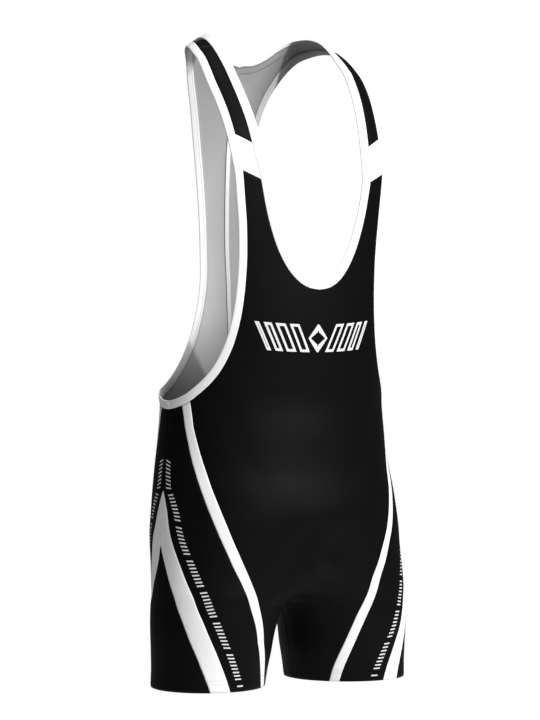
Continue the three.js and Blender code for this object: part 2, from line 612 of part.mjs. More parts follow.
// The front is one piece: both halves share the middle down to the crotch.
function frontBody() {
  const low = lowerGrid('frontMiddle', 'front stripeIn', BIB_COLUMNS, Z_WAIST - 1, 0);
  const rows = [...bibRows(), ...low];
  const crotchRow = BIB_ROWS + LEVELS.indexOf(Z_CROTCH);
  rows.forEach((row, i) => {
    if (i < crotchRow) row[0].x = 0;
  });
  rows[crotchRow][0] = onSection(Z_CROTCH, line('frontMiddle', Z_CROTCH) + 2 * SEAM_GAP);
  rows[crotchRow][0].x = 0;
  for (let i = crotchRow + 1; i < rows.length; i += 1) {
    const { z } = rows[i][0];
    rows[i][0] = onSection(z, line('frontMiddle', z) + SEAM_GAP / 2);
  }
  const left = rows.flat();
  const count = left.length;
  const leftFaces = gridFaces(rows.length, BIB_COLUMNS, 0, true);
  const points = [...left];
  const twin = [];
  for (let k = 0; k < count; k += 1) {
    const i = Math.floor(k / (BIB_COLUMNS + 1));
    const shared = k % (BIB_COLUMNS + 1) === 0 && i <= crotchRow;
    if (shared) twin.push(k);
    else {
      twin.push(points.length);
      points.push(new THREE.Vector3(-left[k].x, left[k].y, left[k].z));
    }
  }
  const faces = [...leftFaces, ...leftFaces.map(([a, b, c]) => [twin[a], twin[c], twin[b]])];
  const normals = skinNormals(points, faces);
  return { skin: { name: 'front_body', material: BLACK, points, faces, normals }, rows };
}

// Folded strip along a closed seam. Each station has the seam point and the point one
// column or row inside the cloth, and the strip carries on past the seam. Turn is 1 where
// the loop runs so that across times along points out of the garment, or else -1.
function binding(name, stations, width, turn) {
  const n = stations.length;
  const frames = stations.map((s, i) => {
    const before = stations[(i + n - 1) % n].seam;
    const after = stations[(i + 1) % n].seam;
    const run = after.clone().sub(before).normalize();
    const away = s.seam.clone().sub(s.inside);
    away.addScaledVector(run, -away.dot(run)).normalize();
    return { run, away };
  });
  const smooth = frames.map((f, i) => {
    const away = new THREE.Vector3();
    for (let k = -2; k <= 2; k += 1) away.addScaledVector(frames[(i + k + n) % n].away, 3 - Math.abs(k));
    away.addScaledVector(f.run, -away.dot(f.run)).normalize();
    return { away, up: away.clone().cross(f.run).setLength(turn) };
  });
  const profile = [
    [SEAM_GAP, BINDING_PROUD], [width - 1, BINDING_PROUD], [width, BINDING_PROUD - 0.7],
    [width, 0.7 - BINDING_DEEP], [width - 1, -BINDING_DEEP], [SEAM_GAP, -BINDING_DEEP],
  ];
  const points = [];
  for (let i = 0; i < n; i += 1) {
    const f = smooth[i];
    for (const [w, h] of profile) {
      points.push(stations[i].seam.clone().addScaledVector(f.away, w).addScaledVector(f.up, h));
    }
  }
  const m = profile.length;
  const tris = [];
  for (let i = 0; i < n; i += 1) {
    for (let j = 0; j < m; j += 1) {
      const [a, b] = [i * m + j, i * m + (j + 1) % m];
      const [c, d] = [((i + 1) % n) * m + (j + 1) % m, ((i + 1) % n) * m + j];
      tris.push([a, b, c], [a, c, d]);
    }
  }
  const made = { points, tris };
  let volume = 0;
  for (const [a, b, c] of tris) {
    volume += points[a].dot(points[b].clone().cross(points[c])) / 6;
  }
  if (volume < 0) made.tris = tris.map(([a, b, c]) => [a, c, b]);
  return solid(name, made, PALE);
}

const flipX = (list) => list.map((s) => ({
  seam: new THREE.Vector3(-s.seam.x, s.seam.y, s.seam.z),
  inside: new THREE.Vector3(-s.inside.x, s.inside.y, s.inside.z),
}));

// Drop stations that lie closer than a few millimetres to the one before.
function thin(list, least) {
  const kept = [];
  for (const s of list) {
    const last = kept[kept.length - 1];
    if (!last || last.seam.distanceTo(s.seam) > least) kept.push(s);
  }
  if (kept[0].seam.distanceTo(kept[kept.length - 1].seam) < least) kept.pop();
  return kept;
}

function build() {
  const group = new THREE.Group();
  group.name = 'wrestling_singlet';

  const front = frontBody();
  const skins = [front.skin];
  const band = ribRows(STRAP, bandRibs, BIB_BAND, SEAM_GAP / 2, SEAM_GAP / 2);
  const strap = ribRows(STRAP, strapRibs, BIB_BAND, SEAM_GAP / 2, SEAM_GAP / 2);
  const yoke = ribRows(BACK, yokeRibs, BIB_BAND, SEAM_GAP / 2, SEAM_GAP / 2);
  const back = backRows();
  const frontStripe = lowerGrid('front stripeIn', 'front stripeOut', 2);
  const sideFront = lowerGrid('front stripeOut', 'front chevronOut', 4);
  const chevronFront = lowerGrid('front chevronOut', 'front chevronIn', 2, Z_APEX);
  const wedgeFront = lowerGrid('front chevronIn', 'side', 3, Z_WEDGE);
  const wedgeBack = lowerGrid('side', 'back chevronIn', 3, Z_WEDGE);
  const chevronBack = lowerGrid('back chevronIn', 'back chevronOut', 2, Z_APEX);
  const sideBack = lowerGrid('back chevronOut', 'back stripeOut', 4);
  const backStripe = lowerGrid('back stripeOut', 'back stripeIn', 2);

  for (const right of [false, true]) {
    const tag = right ? 'right' : 'left';
    skins.push(skin(`strap_band_${tag}`, band, WHITE, false, right));
    skins.push(skin(`front_strap_${tag}`, strap, BLACK, false, right));
    skins.push(skin(`shoulder_${tag}`, yoke, BLACK, false, right));
    skins.push(skin(`back_${tag}`, back, BLACK, false, right));
    skins.push(skin(`front_stripe_${tag}`, frontStripe, WHITE, true, right));
    skins.push(skin(`side_front_${tag}`, sideFront, BLACK, true, right));
    skins.push(skin(`chevron_front_${tag}`, chevronFront, WHITE, true, right));
    skins.push(skin(`wedge_front_${tag}`, wedgeFront, BLACK, true, right));
    skins.push(skin(`wedge_back_${tag}`, wedgeBack, BLACK, true, right));
    skins.push(skin(`chevron_back_${tag}`, chevronBack, WHITE, true, right));
    skins.push(skin(`side_back_${tag}`, sideBack, BLACK, true, right));
    skins.push(skin(`back_stripe_${tag}`, backStripe, WHITE, true, right));
  }

  matchNormals(skins);
  for (const one of skins) group.add(solid(one.name, shell(one, WALL), one.material));

  // Neck loop, left half from the front middle up and over to the back middle.
  const columnOf = (rows, j, k) => rows.map((row) => ({ seam: row[j], inside: row[k] }));
  const bib = front.rows.slice(0, BIB_ROWS + 1);
  const neckCount = BIB_COLUMNS - BIB_BAND;
  const neckFront = [];
  for (let j = 0; j <= neckCount; j += 1) neckFront.push({ seam: bib[0][j], inside: bib[1][j] });
  const backNeck = columnOf(back.slice(0, NAPE_ROW + 1), 0, 1);
  backNeck[NAPE_ROW] = { seam: back[NAPE_ROW][0], inside: back[NAPE_ROW + 1][0] };
  const neckSide = [band, strap, yoke].flatMap((rows) => columnOf(rows, 0, 1));
  const neckHalf = [...neckFront, ...neckSide, ...backNeck];
  const neckLoop = [...neckHalf, ...flipX(neckHalf.slice(1, -1)).reverse()];
  group.add(binding('neck_binding', thin(neckLoop, 2), NECK_BINDING, -1));

  // Armhole loop, from the front stripe up over the shoulder and down the back.
  const last = BIB_COLUMNS;
  const bibArm = columnOf(bib.slice(0, BIB_ROWS - TOP_ROWS + 1), last, last - 1).reverse();
  const backArmRows = back.slice(0, back.length - LEVELS.length - TOP_ROWS + 1);
  const backArm = columnOf(backArmRows, BACK_COLUMNS, BACK_COLUMNS - 1);
  const topOf = (rows) => rows[0].map((p, j) => ({ seam: p, inside: rows[1][j] }));
  const armSide = [band, strap, yoke].flatMap((rows) => columnOf(rows, BIB_BAND, BIB_BAND - 1));
  const underArm = [frontStripe, sideFront, sideBack, backStripe].flatMap(topOf).reverse();
  const armLoop = [...bibArm, ...armSide, ...backArm, ...underArm];
  group.add(binding('armhole_binding_left', thin(armLoop, 2), ARM_BINDING, 1));
  group.add(binding('armhole_binding_right', flipX(thin(armLoop, 2)), ARM_BINDING, -1));

  // Tape along the inside of the back seam, from the points of the back's middle moved in.
  const tapeRows = [];
  for (const row of back.slice(NAPE_ROW + 1, back.length - TAPE_STOP)) {
    const edge = row[0].clone().lerp(row[1], TAPE_WIDTH / 2 / row[0].distanceTo(row[1]));
    tapeRows.push([new THREE.Vector3(-edge.x, edge.y, edge.z), row[0].clone().setX(0), edge]);
  }
  const tape = skin('back_seam_tape', tapeRows, PALE, false);
  group.add(solid(tape.name, shell(tape, TAPE_THICK, -(WALL + TAPE_GAP)), tape.material));
  return group;
}

const singlet = build();
export default singlet;
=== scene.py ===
"""Looks of a worn wrestling singlet: fine cloth shells, bindings, stitches, finishes and studio."""
import logging
import math
from dataclasses import dataclass, field, replace
from enum import Enum
from typing import Sequence

import bmesh
import bpy
import numpy as np
from mathutils import Matrix, Vector


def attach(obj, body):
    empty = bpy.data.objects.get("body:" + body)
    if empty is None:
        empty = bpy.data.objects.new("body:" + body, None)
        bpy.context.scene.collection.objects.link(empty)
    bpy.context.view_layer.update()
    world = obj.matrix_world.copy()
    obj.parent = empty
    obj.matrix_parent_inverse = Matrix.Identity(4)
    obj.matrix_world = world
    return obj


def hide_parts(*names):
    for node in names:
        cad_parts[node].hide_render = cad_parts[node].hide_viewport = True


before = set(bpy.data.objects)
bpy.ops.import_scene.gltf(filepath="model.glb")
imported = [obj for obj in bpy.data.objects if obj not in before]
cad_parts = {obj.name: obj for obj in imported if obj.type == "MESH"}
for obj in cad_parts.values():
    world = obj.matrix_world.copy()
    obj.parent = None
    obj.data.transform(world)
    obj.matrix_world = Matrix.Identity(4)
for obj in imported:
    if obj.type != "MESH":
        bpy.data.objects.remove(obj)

LOG = logging.getLogger("singlet")
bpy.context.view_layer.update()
MM = 0.001
FLIP = np.array([-1, 1, 1])   # onto the other half

# Heights and sizes of the garment, in millimetres.
WALL = 1.2           # thickness of the knit
GAP = 0.05           # clear space between two fine panels
Z_SHOULDER = -60.0   # over this height the straps bend over the shoulder
Z_OVALS = -421.0     # over this height the trunk's ovals give the form, under it the rings
Z_ARM = -432.0       # lowest point of the armhole seam
Z_WAIST = -452.0     # first level row under the armholes
Z_MARKS = -488.0     # top of the side marks
Z_APEX = -526.5      # top of the pointed side stripes
Z_WEDGE = -590.5     # top of the black wedges between them
Z_CROTCH = -662.0    # where the legs part
Z_HEM = -756.0       # bottom edge
Z_TAPE_END = -640.0  # where the tape of the middle back seam ends
LEG_MIDDLE = 90.0    # middle of a leg, across
LEAN_FADE = 20.0     # height over the crotch in which the lean of the legs' ovals fades
NEAR = 0.01          # closer than this, two levels are the same

# Places in the tables of ribs, and the steps of the grids.
YOKE_RIB = 6.5       # rib where the shoulder piece meets the back
NAPE_RIB = 10.0      # rib that starts at the back of the neck
ROUND_FROM = 15.0    # from this rib down the back follows the lower ovals
NAPE_ROW = 25        # row of the back's grid on the nape's rib
NECK_SHARE = 0.78    # share of the front's columns that end at the neck seam
HALF_STEPS = 240     # steps along the front or the back of half a section
DIP_ROWS = 7         # rows from the armhole seam to the waist row
STRAP_COLUMNS = 12   # steps across the straps
BINDING_STEPS = 420  # steps along a binding
CURVE_STEPS = 400    # short runs of a smooth curve
FRONT_WIDE = 160.0   # usual width of half the front, for the close rows at its seam
BACK_WIDE = 150.0    # the same of half the back

# Painted shade on the pale lining, in metres: darker low at the flanks, over the shoulders and
# higher up.
FLANK_SLOPE, FLANK_LOW, FLANK_SOFT = 1.65, 0.458, 0.014   # slanted edge at the flanks
CAP_OUT, CAP_SOFT = 0.061, 0.003                          # inner edge over the shoulders
CAP_LOW, CAP_UNEVEN, CAP_FADE = -0.054, 0.026, 0.02       # lower end there, lower on the left
SHADE_FADE_RUN, SHADE_FADE_TOP = 0.32, 0.06                       # it grows paler down to 0.34 m

# Stitches: distance from one to the next, and their length and thickness, in millimetres.
PITCH = 3.0
FINE_STITCH, WIDE_STITCH = (2.0, 0.36), (2.3, 0.55)

# The least side of a flat piece in metres, and the least share of its box that it fills.
LEAST_SIDE, LEAST_SHARE = 0.0105, 0.31
ROLL_REACH = 0.0012  # in metres, how far a seam edge's roll reaches into the cloth


class Side(Enum):
    """The wearer's left (+X) or right (-X) half."""

    LEFT = 1
    RIGHT = -1

    @property
    def tag(self) -> str:
        """The ending of this half's node names."""
        return self.name.lower()


class SmoothTable:
    """A table of named columns, read smoothly between its rows."""

    def __init__(self, key: str, names: str, rows: Sequence[Sequence[float]]) -> None:
        """Sorts the rows by the key column.

        Args:
            key: the name of the column that the rows are read by.
            names: the columns' names, with spaces between them.
            rows: one sequence of numbers for each row.
        """
        titles = names.split()
        data = np.array(rows, dtype=float)
        data = data[np.argsort(data[:, titles.index(key)])]
        self.keys = data[:, titles.index(key)]
        self.columns = {name: data[:, i] for i, name in enumerate(titles)}
        self.slopes: dict[str, np.ndarray] = {}
        step = np.diff(self.keys)
        for name, values in self.columns.items():
            rise = np.diff(values) / step
            inner = (rise[:-1] * step[1:] + rise[1:] * step[:-1]) / (step[:-1] + step[1:])
            self.slopes[name] = np.concatenate([[rise[0]], inner, [rise[-1]]])

    def __call__(self, name: str, at: float | np.ndarray) -> np.ndarray:
        """Reads one column.

        Args:
            name: the column.
            at: one key or an array of keys, held inside the table's ends.

        Returns:
            The column's value at each key.
        """
        at = np.clip(at, self.keys[0], self.keys[-1])
        i = np.clip(np.searchsorted(self.keys, at, side="right") - 1, 0, len(self.keys) - 2)
        h = self.keys[i + 1] - self.keys[i]
        u = (at - self.keys[i]) / h
        v, s = self.columns[name], self.slopes[name]
        return ((2 * u**3 - 3 * u * u + 1) * v[i] + (u**3 - 2 * u * u + u) * s[i] * h
                + (3 * u * u - 2 * u**3) * v[i + 1] + (u**3 - u * u) * s[i + 1] * h)


# Lower body sections: middle of the half, outer reach, depths, roundness, turn of the
# leg's oval, and fullness of the middle in front and behind.
RINGS = SmoothTable("z", "z cx cy out front back power turn fullF fullB", [
    (-760, 95.6, -11, 165.0, 68.6, 71.0, 2.0, 3.0, 0, 0),
    (-740, 93.8, -12, 164.5, 68.3, 72.0, 2.0, 3.0, 0, 0),
    (-715, 91.4, -12.5, 165.0, 70.9, 72.5, 2.0, 2.8, 0, 0),
    (-690, 89.6, -12, 166.0, 75.2, 70.8, 2.0, 2.5, 0, 0),
    (-676, 87.2, -12.2, 165.8, 76.3, 72.2, 2.0, 2.2, 0, 0),
    (-662, 82.8, -12.5, 165.2, 77.2, 73.6, 2.0, 1.9, 0, 0),
    (-657, 80.6, -13.4, 164.8, 76.8, 75.4, 2.01, 1.7, 0.47, 0.45),
    (-650, 77.0, -15, 164.3, 76.2, 77.6, 2.02, 1.5, 0.73, 0.70),
    (-631, 65.0, -15, 163.0, 77.0, 85.0, 2.06, 1.0, 1.01, 0.95),
    (-612, 48.0, -14, 161.3, 81.5, 92.5, 2.1, 0.4, 1.09, 1.03),
    (-594, 27.0, -12, 160.4, 88.3, 99.5, 2.13, 0, 1.05, 1.02),
    (-575, 12.0, -9.5, 160.0, 95.8, 104.0, 2.1, 0, 1.02, 1.01),
    (-557, 1.0, -7.5, 159.0, 102.0, 105.0, 2.03, 0, 1, 1),
    (-530, 0.5, -4.5, 156.0, 103.0, 102.0, 2.0, 0, 1, 1),
    (-503, 0.5, -1.5, 151.8, 100.0, 99.0, 2.0, 0, 1, 1),
    (-466, 0.5, -0.5, 147.0, 97.0, 96.0, 2.0, 0, 1, 1),
    (-421, 0.5, 0.0, 143.6, 94.0, 94.0, 2.0, 0, 1, 1),
    (-398, 0.5, 0.0, 144.0, 96.0, 95.3, 2.0, 0, 1, 1),
])
CHEST = SmoothTable("z", "z wide deep", [
    (-444, 145.2, 95.5), (-421, 143.6, 94.0), (-398, 144.0, 96.0), (-375, 144.7, 98.5),
    (-352, 146.0, 100.5), (-306, 151.6, 103.0), (-260, 163.0, 103.9), (-214, 176.0, 105.3),
    (-168, 188.0, 106.0),
])
LOINS = SmoothTable("z", "z wide deep", [
    (-444, 145.2, 95.0), (-421, 143.6, 94.0), (-386, 145.0, 96.0), (-353, 147.0, 98.5),
    (-305, 149.0, 101.0),
])
# Seam lines, in millimetres round the cloth from the hip's outermost line.
LINES = SmoothTable("z", "z side stripeOut stripeIn chevronOut chevronIn", [
    (-421, -4.0, -22.5, -33.0, -4.0, -4.0), (-430, -4.0, -25.0, -35.8, -4.0, -4.0),
    (-449, -4.0, -30.7, -41.9, -4.0, -4.0), (-467, -4.2, -36.6, -48.4, -4.2, -4.2),
    (-485, -4.4, -42.9, -55.7, -4.4, -4.4), (-503, -4.8, -50.4, -63.9, -4.8, -4.8),
    (-514, -5.4, -55.2, -68.9, -5.4, -5.4), (-525, -6.2, -60.2, -73.9, -6.2, -6.2),
    (-532, -6.4, -63.4, -77.3, -9.3, -6.4), (-550, -5.9, -71.4, -85.5, -15.4, -5.9),
    (-568, -3.9, -79.3, -93.3, -18.9, -3.9), (-581, -1.9, -84.4, -98.1, -22.1, -1.9),
    (-588, -1.6, -87.0, -100.5, -24.4, -1.6), (-594, -1.5, -89.3, -102.8, -26.7, -3.0),
    (-612, -1.5, -96.5, -110.1, -34.0, -9.7), (-631, -1.2, -107.0, -119.9, -43.2, -18.5),
    (-649, -0.4, -116.6, -129.3, -52.9, -27.6), (-668, 0.6, -127.4, -140.4, -63.9, -38.7),
    (-690, 1.0, -136.4, -149.1, -73.8, -48.5), (-712, 0.8, -140.9, -153.4, -81.4, -56.5),
    (-731, 0.4, -145.6, -158.4, -88.1, -63.4), (-760, 0.0, -155.0, -166.4, -99.6, -75.6),
])
ARM_DIP = SmoothTable("round", "round z", [
    (-48, -416.8), (-36, -422.4), (-25, -427.3), (-14, -430.6), (-4, -432), (6, -431.5),
    (17, -430), (28, -427), (40, -423),
])
ARM_FRONT = [(130.2, -418.0), (123.4, -409.3), (115.3, -397.7), (109.0, -386.2), (104.2, -374.7),
             (100.2, -363.2), (97.1, -351.7), (92.7, -328.7), (90.2, -305.8), (88.9, -282.9),
             (88.5, -260.0), (89.3, -237.1), (90.8, -214.3), (93.1, -191.5), (96.4, -157.5)]
NECK_FRONT = [(0.0, -293.5), (14.5, -291.0), (27.6, -283.6), (39.2, -271.6), (46.9, -259.8),
              (52.9, -248.3), (57.6, -236.9), (61.6, -225.5), (65.1, -214.1), (68.1, -202.7),
              (70.6, -191.3), (75.2, -167.5)]
# Ribs: neck or middle side, arm side, bulge between them.
STRAP = [
    (75.2, -97.2, -167.5, 96.4, -91.0, -157.5, 0.3),
    (77.8, -91.6, -146.0, 97.9, -85.2, -136.0, 0.5),
    (80.0, -85.6, -125.5, 99.4, -78.6, -115.5, 0.7), (82.5, -76.3, -99.5, 101.4, -67.4, -90.0, 1.0),
    (85.3, -64.2, -75.1, 103.4, -55.6, -69.5, 1.2), (87.2, -51.5, -55.0, 104.6, -45.0, -54.5, 1.4),
    (88.2, -37.0, -35.5, 104.3, -34.2, -40.5, 1.5),
]
BACK = [
    (88.2, -37.0, -35.5, 104.3, -34.2, -40.5, 1.5), (86.8, -18.0, -18.6, 101.4, -15.5, -23.0, 1.4),
    (85.4, -3.0, -8.0, 99.0, 1.5, -12.5, 1.2), (83.4, 15.0, 1.0, 95.0, 19.0, -4.0, 1.0),
    (80.6, 33.0, 4.2, 89.0, 36.5, -1.0, 0.6), (76.6, 49.0, 3.4, 82.0, 52.5, -3.0, 0.4),
    (68.6, 62.0, 0.0, 73.0, 66.5, -8.5, 0.4), (56.6, 71.0, -7.0, 63.6, 78.5, -21.0, 0.5),
    (40.0, 77.2, -19.0, 54.6, 90.0, -39.0, 0.8), (20.5, 80.0, -28.0, 46.0, 99.0, -60.0, 0.8),
    (0.0, 81.5, -32.0, 39.5, 105.0, -84.0, 0.6), (0.0, 92.5, -74.0, 34.8, 108.0, -113.0, 0.3),
    (0.0, 101.0, -122.0, 31.0, 108.6, -150.0, 0.2), (0.0, 105.0, -178.0, 28.5, 108.0, -190.0, 0.2),
    (0.0, 105.5, -235.0, 27.6, 106.5, -238.0, 0.3), (0.0, 103.4, -285.0, 31.0, 103.2, -281.0, 0.6),
    (0.0, 101.0, -330.0, 40.5, 97.0, -323.0, 1.0), (0.0, 98.2, -365.0, 56.0, 90.4, -361.0, 1.6),
    (0.0, 95.8, -394.0, 80.0, 80.0, -393.0, 3.0), (0.0, 94.8, -412.0, 104.0, 65.0, -411.5, 8.0),
    (0.0, 94.4, -422.0, 124.5, 46.9, -420.0, 12.0),
]


def ease(t: float | np.ndarray) -> np.ndarray:
    """Smooth step from 0 to 1, held at both ends."""
    t = np.clip(t, 0, 1)
    return t * t * (3 - 2 * t)


def curve_point(points: np.ndarray, t: float) -> np.ndarray:
    """Point of a smooth curve through points, with its bends kept tight to them.

    Args:
        points: the points, one row each.
        t: place in steps from one point to the next.

    Returns:
        The curve's point.
    """
    last = len(points) - 1
    i = min(int(t), last - 1)
    u = t - i
    p1, p2 = points[i], points[i + 1]
    p0 = points[i - 1] if i > 0 else 2 * points[0] - points[1]
    p3 = points[i + 2] if i + 2 <= last else 2 * points[last] - points[last - 1]
    d1 = max(1e-6, np.linalg.norm(p2 - p1) ** 0.5)
    d0 = max(1e-6, np.linalg.norm(p1 - p0) ** 0.5)
    d2 = max(1e-6, np.linalg.norm(p3 - p2) ** 0.5)
    m1 = ((p1 - p0) / d0 - (p2 - p0) / (d0 + d1) + (p2 - p1) / d1) * d1
    m2 = ((p2 - p1) / d1 - (p3 - p1) / (d1 + d2) + (p3 - p2) / d2) * d1
    return ((2 * u**3 - 3 * u * u + 1) * p1 + (u**3 - 2 * u * u + u) * m1
            + (3 * u * u - 2 * u**3) * p2 + (u**3 - u * u) * m2)


def dense(points: np.ndarray, steps: int) -> np.ndarray:
    """A smooth curve through points as many short runs."""
    return np.array([curve_point(points, t) for t in np.linspace(0, len(points) - 1, steps)])


def along(points: np.ndarray, shares: Sequence[float]) -> np.ndarray:
    """Points at shares of a polyline's length.

    Args:
        points: the polyline's points, one row each.
        shares: places from 0 to 1.

    Returns:
        One row for each share.
    """
    gaps = np.linalg.norm(np.diff(points, axis=0), axis=1)
    sums = np.concatenate([[0], np.cumsum(gaps)])
    want = np.asarray(shares) * sums[-1]
    return np.stack([np.interp(want, sums, points[:, k]) for k in range(points.shape[1])], axis=1)


class Form:
    """The garment's outer form on the wearer's left half, in millimetres."""

    def __init__(self) -> None:
        """Starts with no section worked out."""
        self.sections: dict[float, tuple[np.ndarray, np.ndarray]] = {}

    def lower(self, z: float, x: np.ndarray, side: int) -> tuple[np.ndarray, np.ndarray]:
        """Lower body's points at a level.

        Args:
            z: the level.
            x: places across the half.
            side: -1 for the front and 1 for the back.

        Returns:
            Their x and y.
        """
        names = ("cx", "cy", "out", "power", "turn")
        cx, cy, out, power, turn = (float(RINGS(name, z)) for name in names)
        depth = float(RINGS("front" if side < 0 else "back", z))
        full = 0.0 if z <= Z_CROTCH else float(RINGS("fullF" if side < 0 else "fullB", z))
        outer = out - cx
        g = np.maximum(0, 1 - np.clip((x - cx) / outer, 0, 1) ** power) ** (1 / power)
        if z <= Z_CROTCH:
            inner = np.sqrt(np.maximum(0, 1 - ((cx - x) / outer) ** 2))
        elif full < 1:
            reach = cx / math.sqrt(max(1e-9, 1 - full * full))
            one = np.sqrt(np.maximum(0, 1 - ((cx - x) / reach) ** 2))
            two = np.where(reach - cx > x, np.sqrt(np.maximum(0, 1 - ((cx + x) / reach) ** 2)), 0)
            k = max(1e-6, 0.25 * full * float(ease((1 - full) / 0.2)))
            inner = np.maximum(one, two) + np.maximum(k - np.abs(one - two), 0) ** 2 / (4 * k)
        else:
            inner = 1 + (full - 1) * ease((cx - x) / cx)
        g = np.where(x >= cx, g, inner)
        low = float(ease((Z_CROTCH + LEAN_FADE - z) / LEAN_FADE))
        lean = np.where(x >= cx, 1.0, low + (1 - low) * ease(x / max(cx, 1e-6)))
        return x - side * turn * g * lean, cy + side * depth * g - turn * lean * (x - cx) / outer

    def section(self, z: float) -> tuple[np.ndarray, np.ndarray]:
        """Half section from the front middle or inseam round the hip to the back.

        Args:
            z: the level.

        Returns:
            Points (x, y) and their distance round from the outermost one.
        """
        key = round(z, 4)
        if key in self.sections:
            return self.sections[key]
        t = np.linspace(0, 1, HALF_STEPS + 1)
        halves = []
        for side in (-1, 1):
            if z > Z_OVALS:
                table = CHEST if side < 0 else LOINS
                wide, deep = float(table("wide", z)), float(table("deep", z))
                x, y = wide * np.sin(t * math.pi / 2), side * deep * np.cos(t * math.pi / 2)
            else:
                cx, out = float(RINGS("cx", z)), float(RINGS("out", z))
                if z <= Z_CROTCH:
                    x = cx - (out - cx) * np.cos(t * math.pi)
                else:
                    bow = np.sin(np.clip(t - 0.4, 0, 1) / 0.6 * math.pi / 2)
                    x = np.where(t < 0.4, cx * t / 0.4, cx + (out - cx) * bow)
                x, y = self.lower(z, np.maximum(x, 0 if z > Z_CROTCH else 2 * cx - out), side)
                if z > Z_CROTCH:
                    x[0] = 0
            halves.append(np.stack([x, y], axis=1))
        points = np.concatenate([halves[0], halves[1][::-1][1:]])
        gaps = np.linalg.norm(np.diff(points, axis=0), axis=1)
        around = np.concatenate([[0], np.cumsum(gaps)])
        self.sections[key] = points, around - around[HALF_STEPS]
        return self.sections[key]

    def on(self, z: float, around: np.ndarray) -> np.ndarray:
        """Points of a section at distances round, as (x, y, z) rows."""
        points, table = self.section(z)
        x, y = np.interp(around, table, points[:, 0]), np.interp(around, table, points[:, 1])
        return np.stack([x, y, np.full_like(x, z)], axis=-1)

    def line(self, name: str, z: float) -> float:
        """Distance round of a seam line: the back ones mirror the front about the side.

        Args:
            name: frontMiddle, backMiddle, side, or front or back and a column of LINES.
            z: the level.

        Returns:
            Millimetres round from the hip's outermost line.
        """
        if name == "frontMiddle":
            return float(self.section(z)[1][0])
        if name == "backMiddle":
            return float(self.section(z)[1][-1])
        side = float(LINES("side", z))
        if name == "side":
            return side
        where, which = name.split()
        value = float(LINES(which, z))
        return value if where == "front" else 2 * side - value

    def chest_y(self, x: np.ndarray, z: np.ndarray) -> np.ndarray:
        """Front surface at places across and up."""
        return self._depth(CHEST, -1, x, z)

    def loins_y(self, x: np.ndarray, z: np.ndarray) -> np.ndarray:
        """Lower back's surface at places across and up."""
        return self._depth(LOINS, 1, x, z)

    def _depth(self, table: SmoothTable, side: int, x: np.ndarray, z: np.ndarray) -> np.ndarray:
        """Surface depth from an oval table over the waist and the rings under it."""
        x, z = np.atleast_1d(x).astype(float), np.atleast_1d(z).astype(float)
        oval = np.sqrt(np.maximum(0, 1 - (x / table("wide", z)) ** 2))
        y = side * table("deep", z) * oval
        for k in np.flatnonzero(z < Z_OVALS):
            y[k] = self.lower(float(z[k]), x[k:k + 1], side)[1][0]
        return y

    def arm_point(self, name: str, share: float, shift: float) -> np.ndarray:
        """Point of a seam line between the armhole seam (0) and the waist row (1)."""
        nominal = Z_ARM + (Z_WAIST - Z_ARM) * share
        around = self.line(name, nominal) + shift
        top = float(ARM_DIP("z", around))
        return self.on(top + (Z_WAIST - top) * share, np.array([around]))[0]


FORM = Form()


def levels(top: float = Z_WAIST) -> list[float]:
    """Fine level rows from a height down to the hem, closer together at the crotch."""
    crotch = [-643, -646, -649, -651.5, -654, -656, -658, -659.5, -660.7, -661.6, Z_CROTCH,
              -662.6, -664, -667, -671]
    rows = [*np.arange(Z_WAIST, -641, -4.0), *crotch,
            *np.arange(-675, -740, -4.0), *np.arange(-741, -756, -2.5), Z_HEM]
    return [float(z) for z in rows if z <= top + 1e-6]


def spread(width: float, count: int) -> np.ndarray:
    """Shares across a panel, with close rows at both edges for the seam's roll.

    Args:
        width: the panel's width in millimetres.
        count: the number of even steps between the edges.

    Returns:
        Rising shares from 0 to 1.
    """
    edge = min(0.8, 0.05 * width) / max(width, 1e-6)
    middle = np.linspace(2.6 * edge, 1 - 2.6 * edge, count - 3)
    return np.concatenate([[0, edge], middle, [1 - edge, 1]])


def front_shares(columns: int) -> np.ndarray:
    """Shares across half the front, with no close rows at its middle, where no seam is."""
    u = spread(FRONT_WIDE, columns)
    u[1], u[2] = u[3] / 3, u[3] * 2 / 3
    return u


@dataclass
class Patch:
    """A grid of points on the outer form: rows down, columns across."""

    rows: np.ndarray
    flip: bool = False

    def mirrored(self) -> "Patch":
        """The same patch on the wearer's other half."""
        return Patch(self.rows * FLIP, not self.flip)


def lower_patch(start: str, end: str, columns: int, top: float | None = None) -> Patch:
    """Grid of a lower panel between two seam lines, down to the hem.

    Args:
        start: the seam line of the first column.
        end: the seam line of the last column.
        columns: steps across.
        top: the height where the panel starts, or None for the armhole seam.

    Returns:
        The panel's grid.
    """
    rows = []

    def reach(z: float) -> np.ndarray:
        """Places across the panel at a level, as distances round."""
        a, b = FORM.line(start, z) + GAP, FORM.line(end, z) - GAP
        return a + (b - a) * spread(abs(b - a), columns)

    if top is None:
        for share in np.linspace(0, 1, DIP_ROWS)[:-1]:
            around = reach(Z_ARM + (Z_WAIST - Z_ARM) * share)
            height = ARM_DIP("z", around)
            height = height + (Z_WAIST - height) * share
            rows.append([FORM.on(float(z), np.array([r]))[0] for r, z in zip(around, height)])
    starts = levels(Z_WAIST if top is None else top)
    if top is not None and top - starts[0] > 0.5:
        starts.insert(0, top)
    rows += [FORM.on(z, reach(z)) for z in starts]
    return Patch(np.array(rows), True)


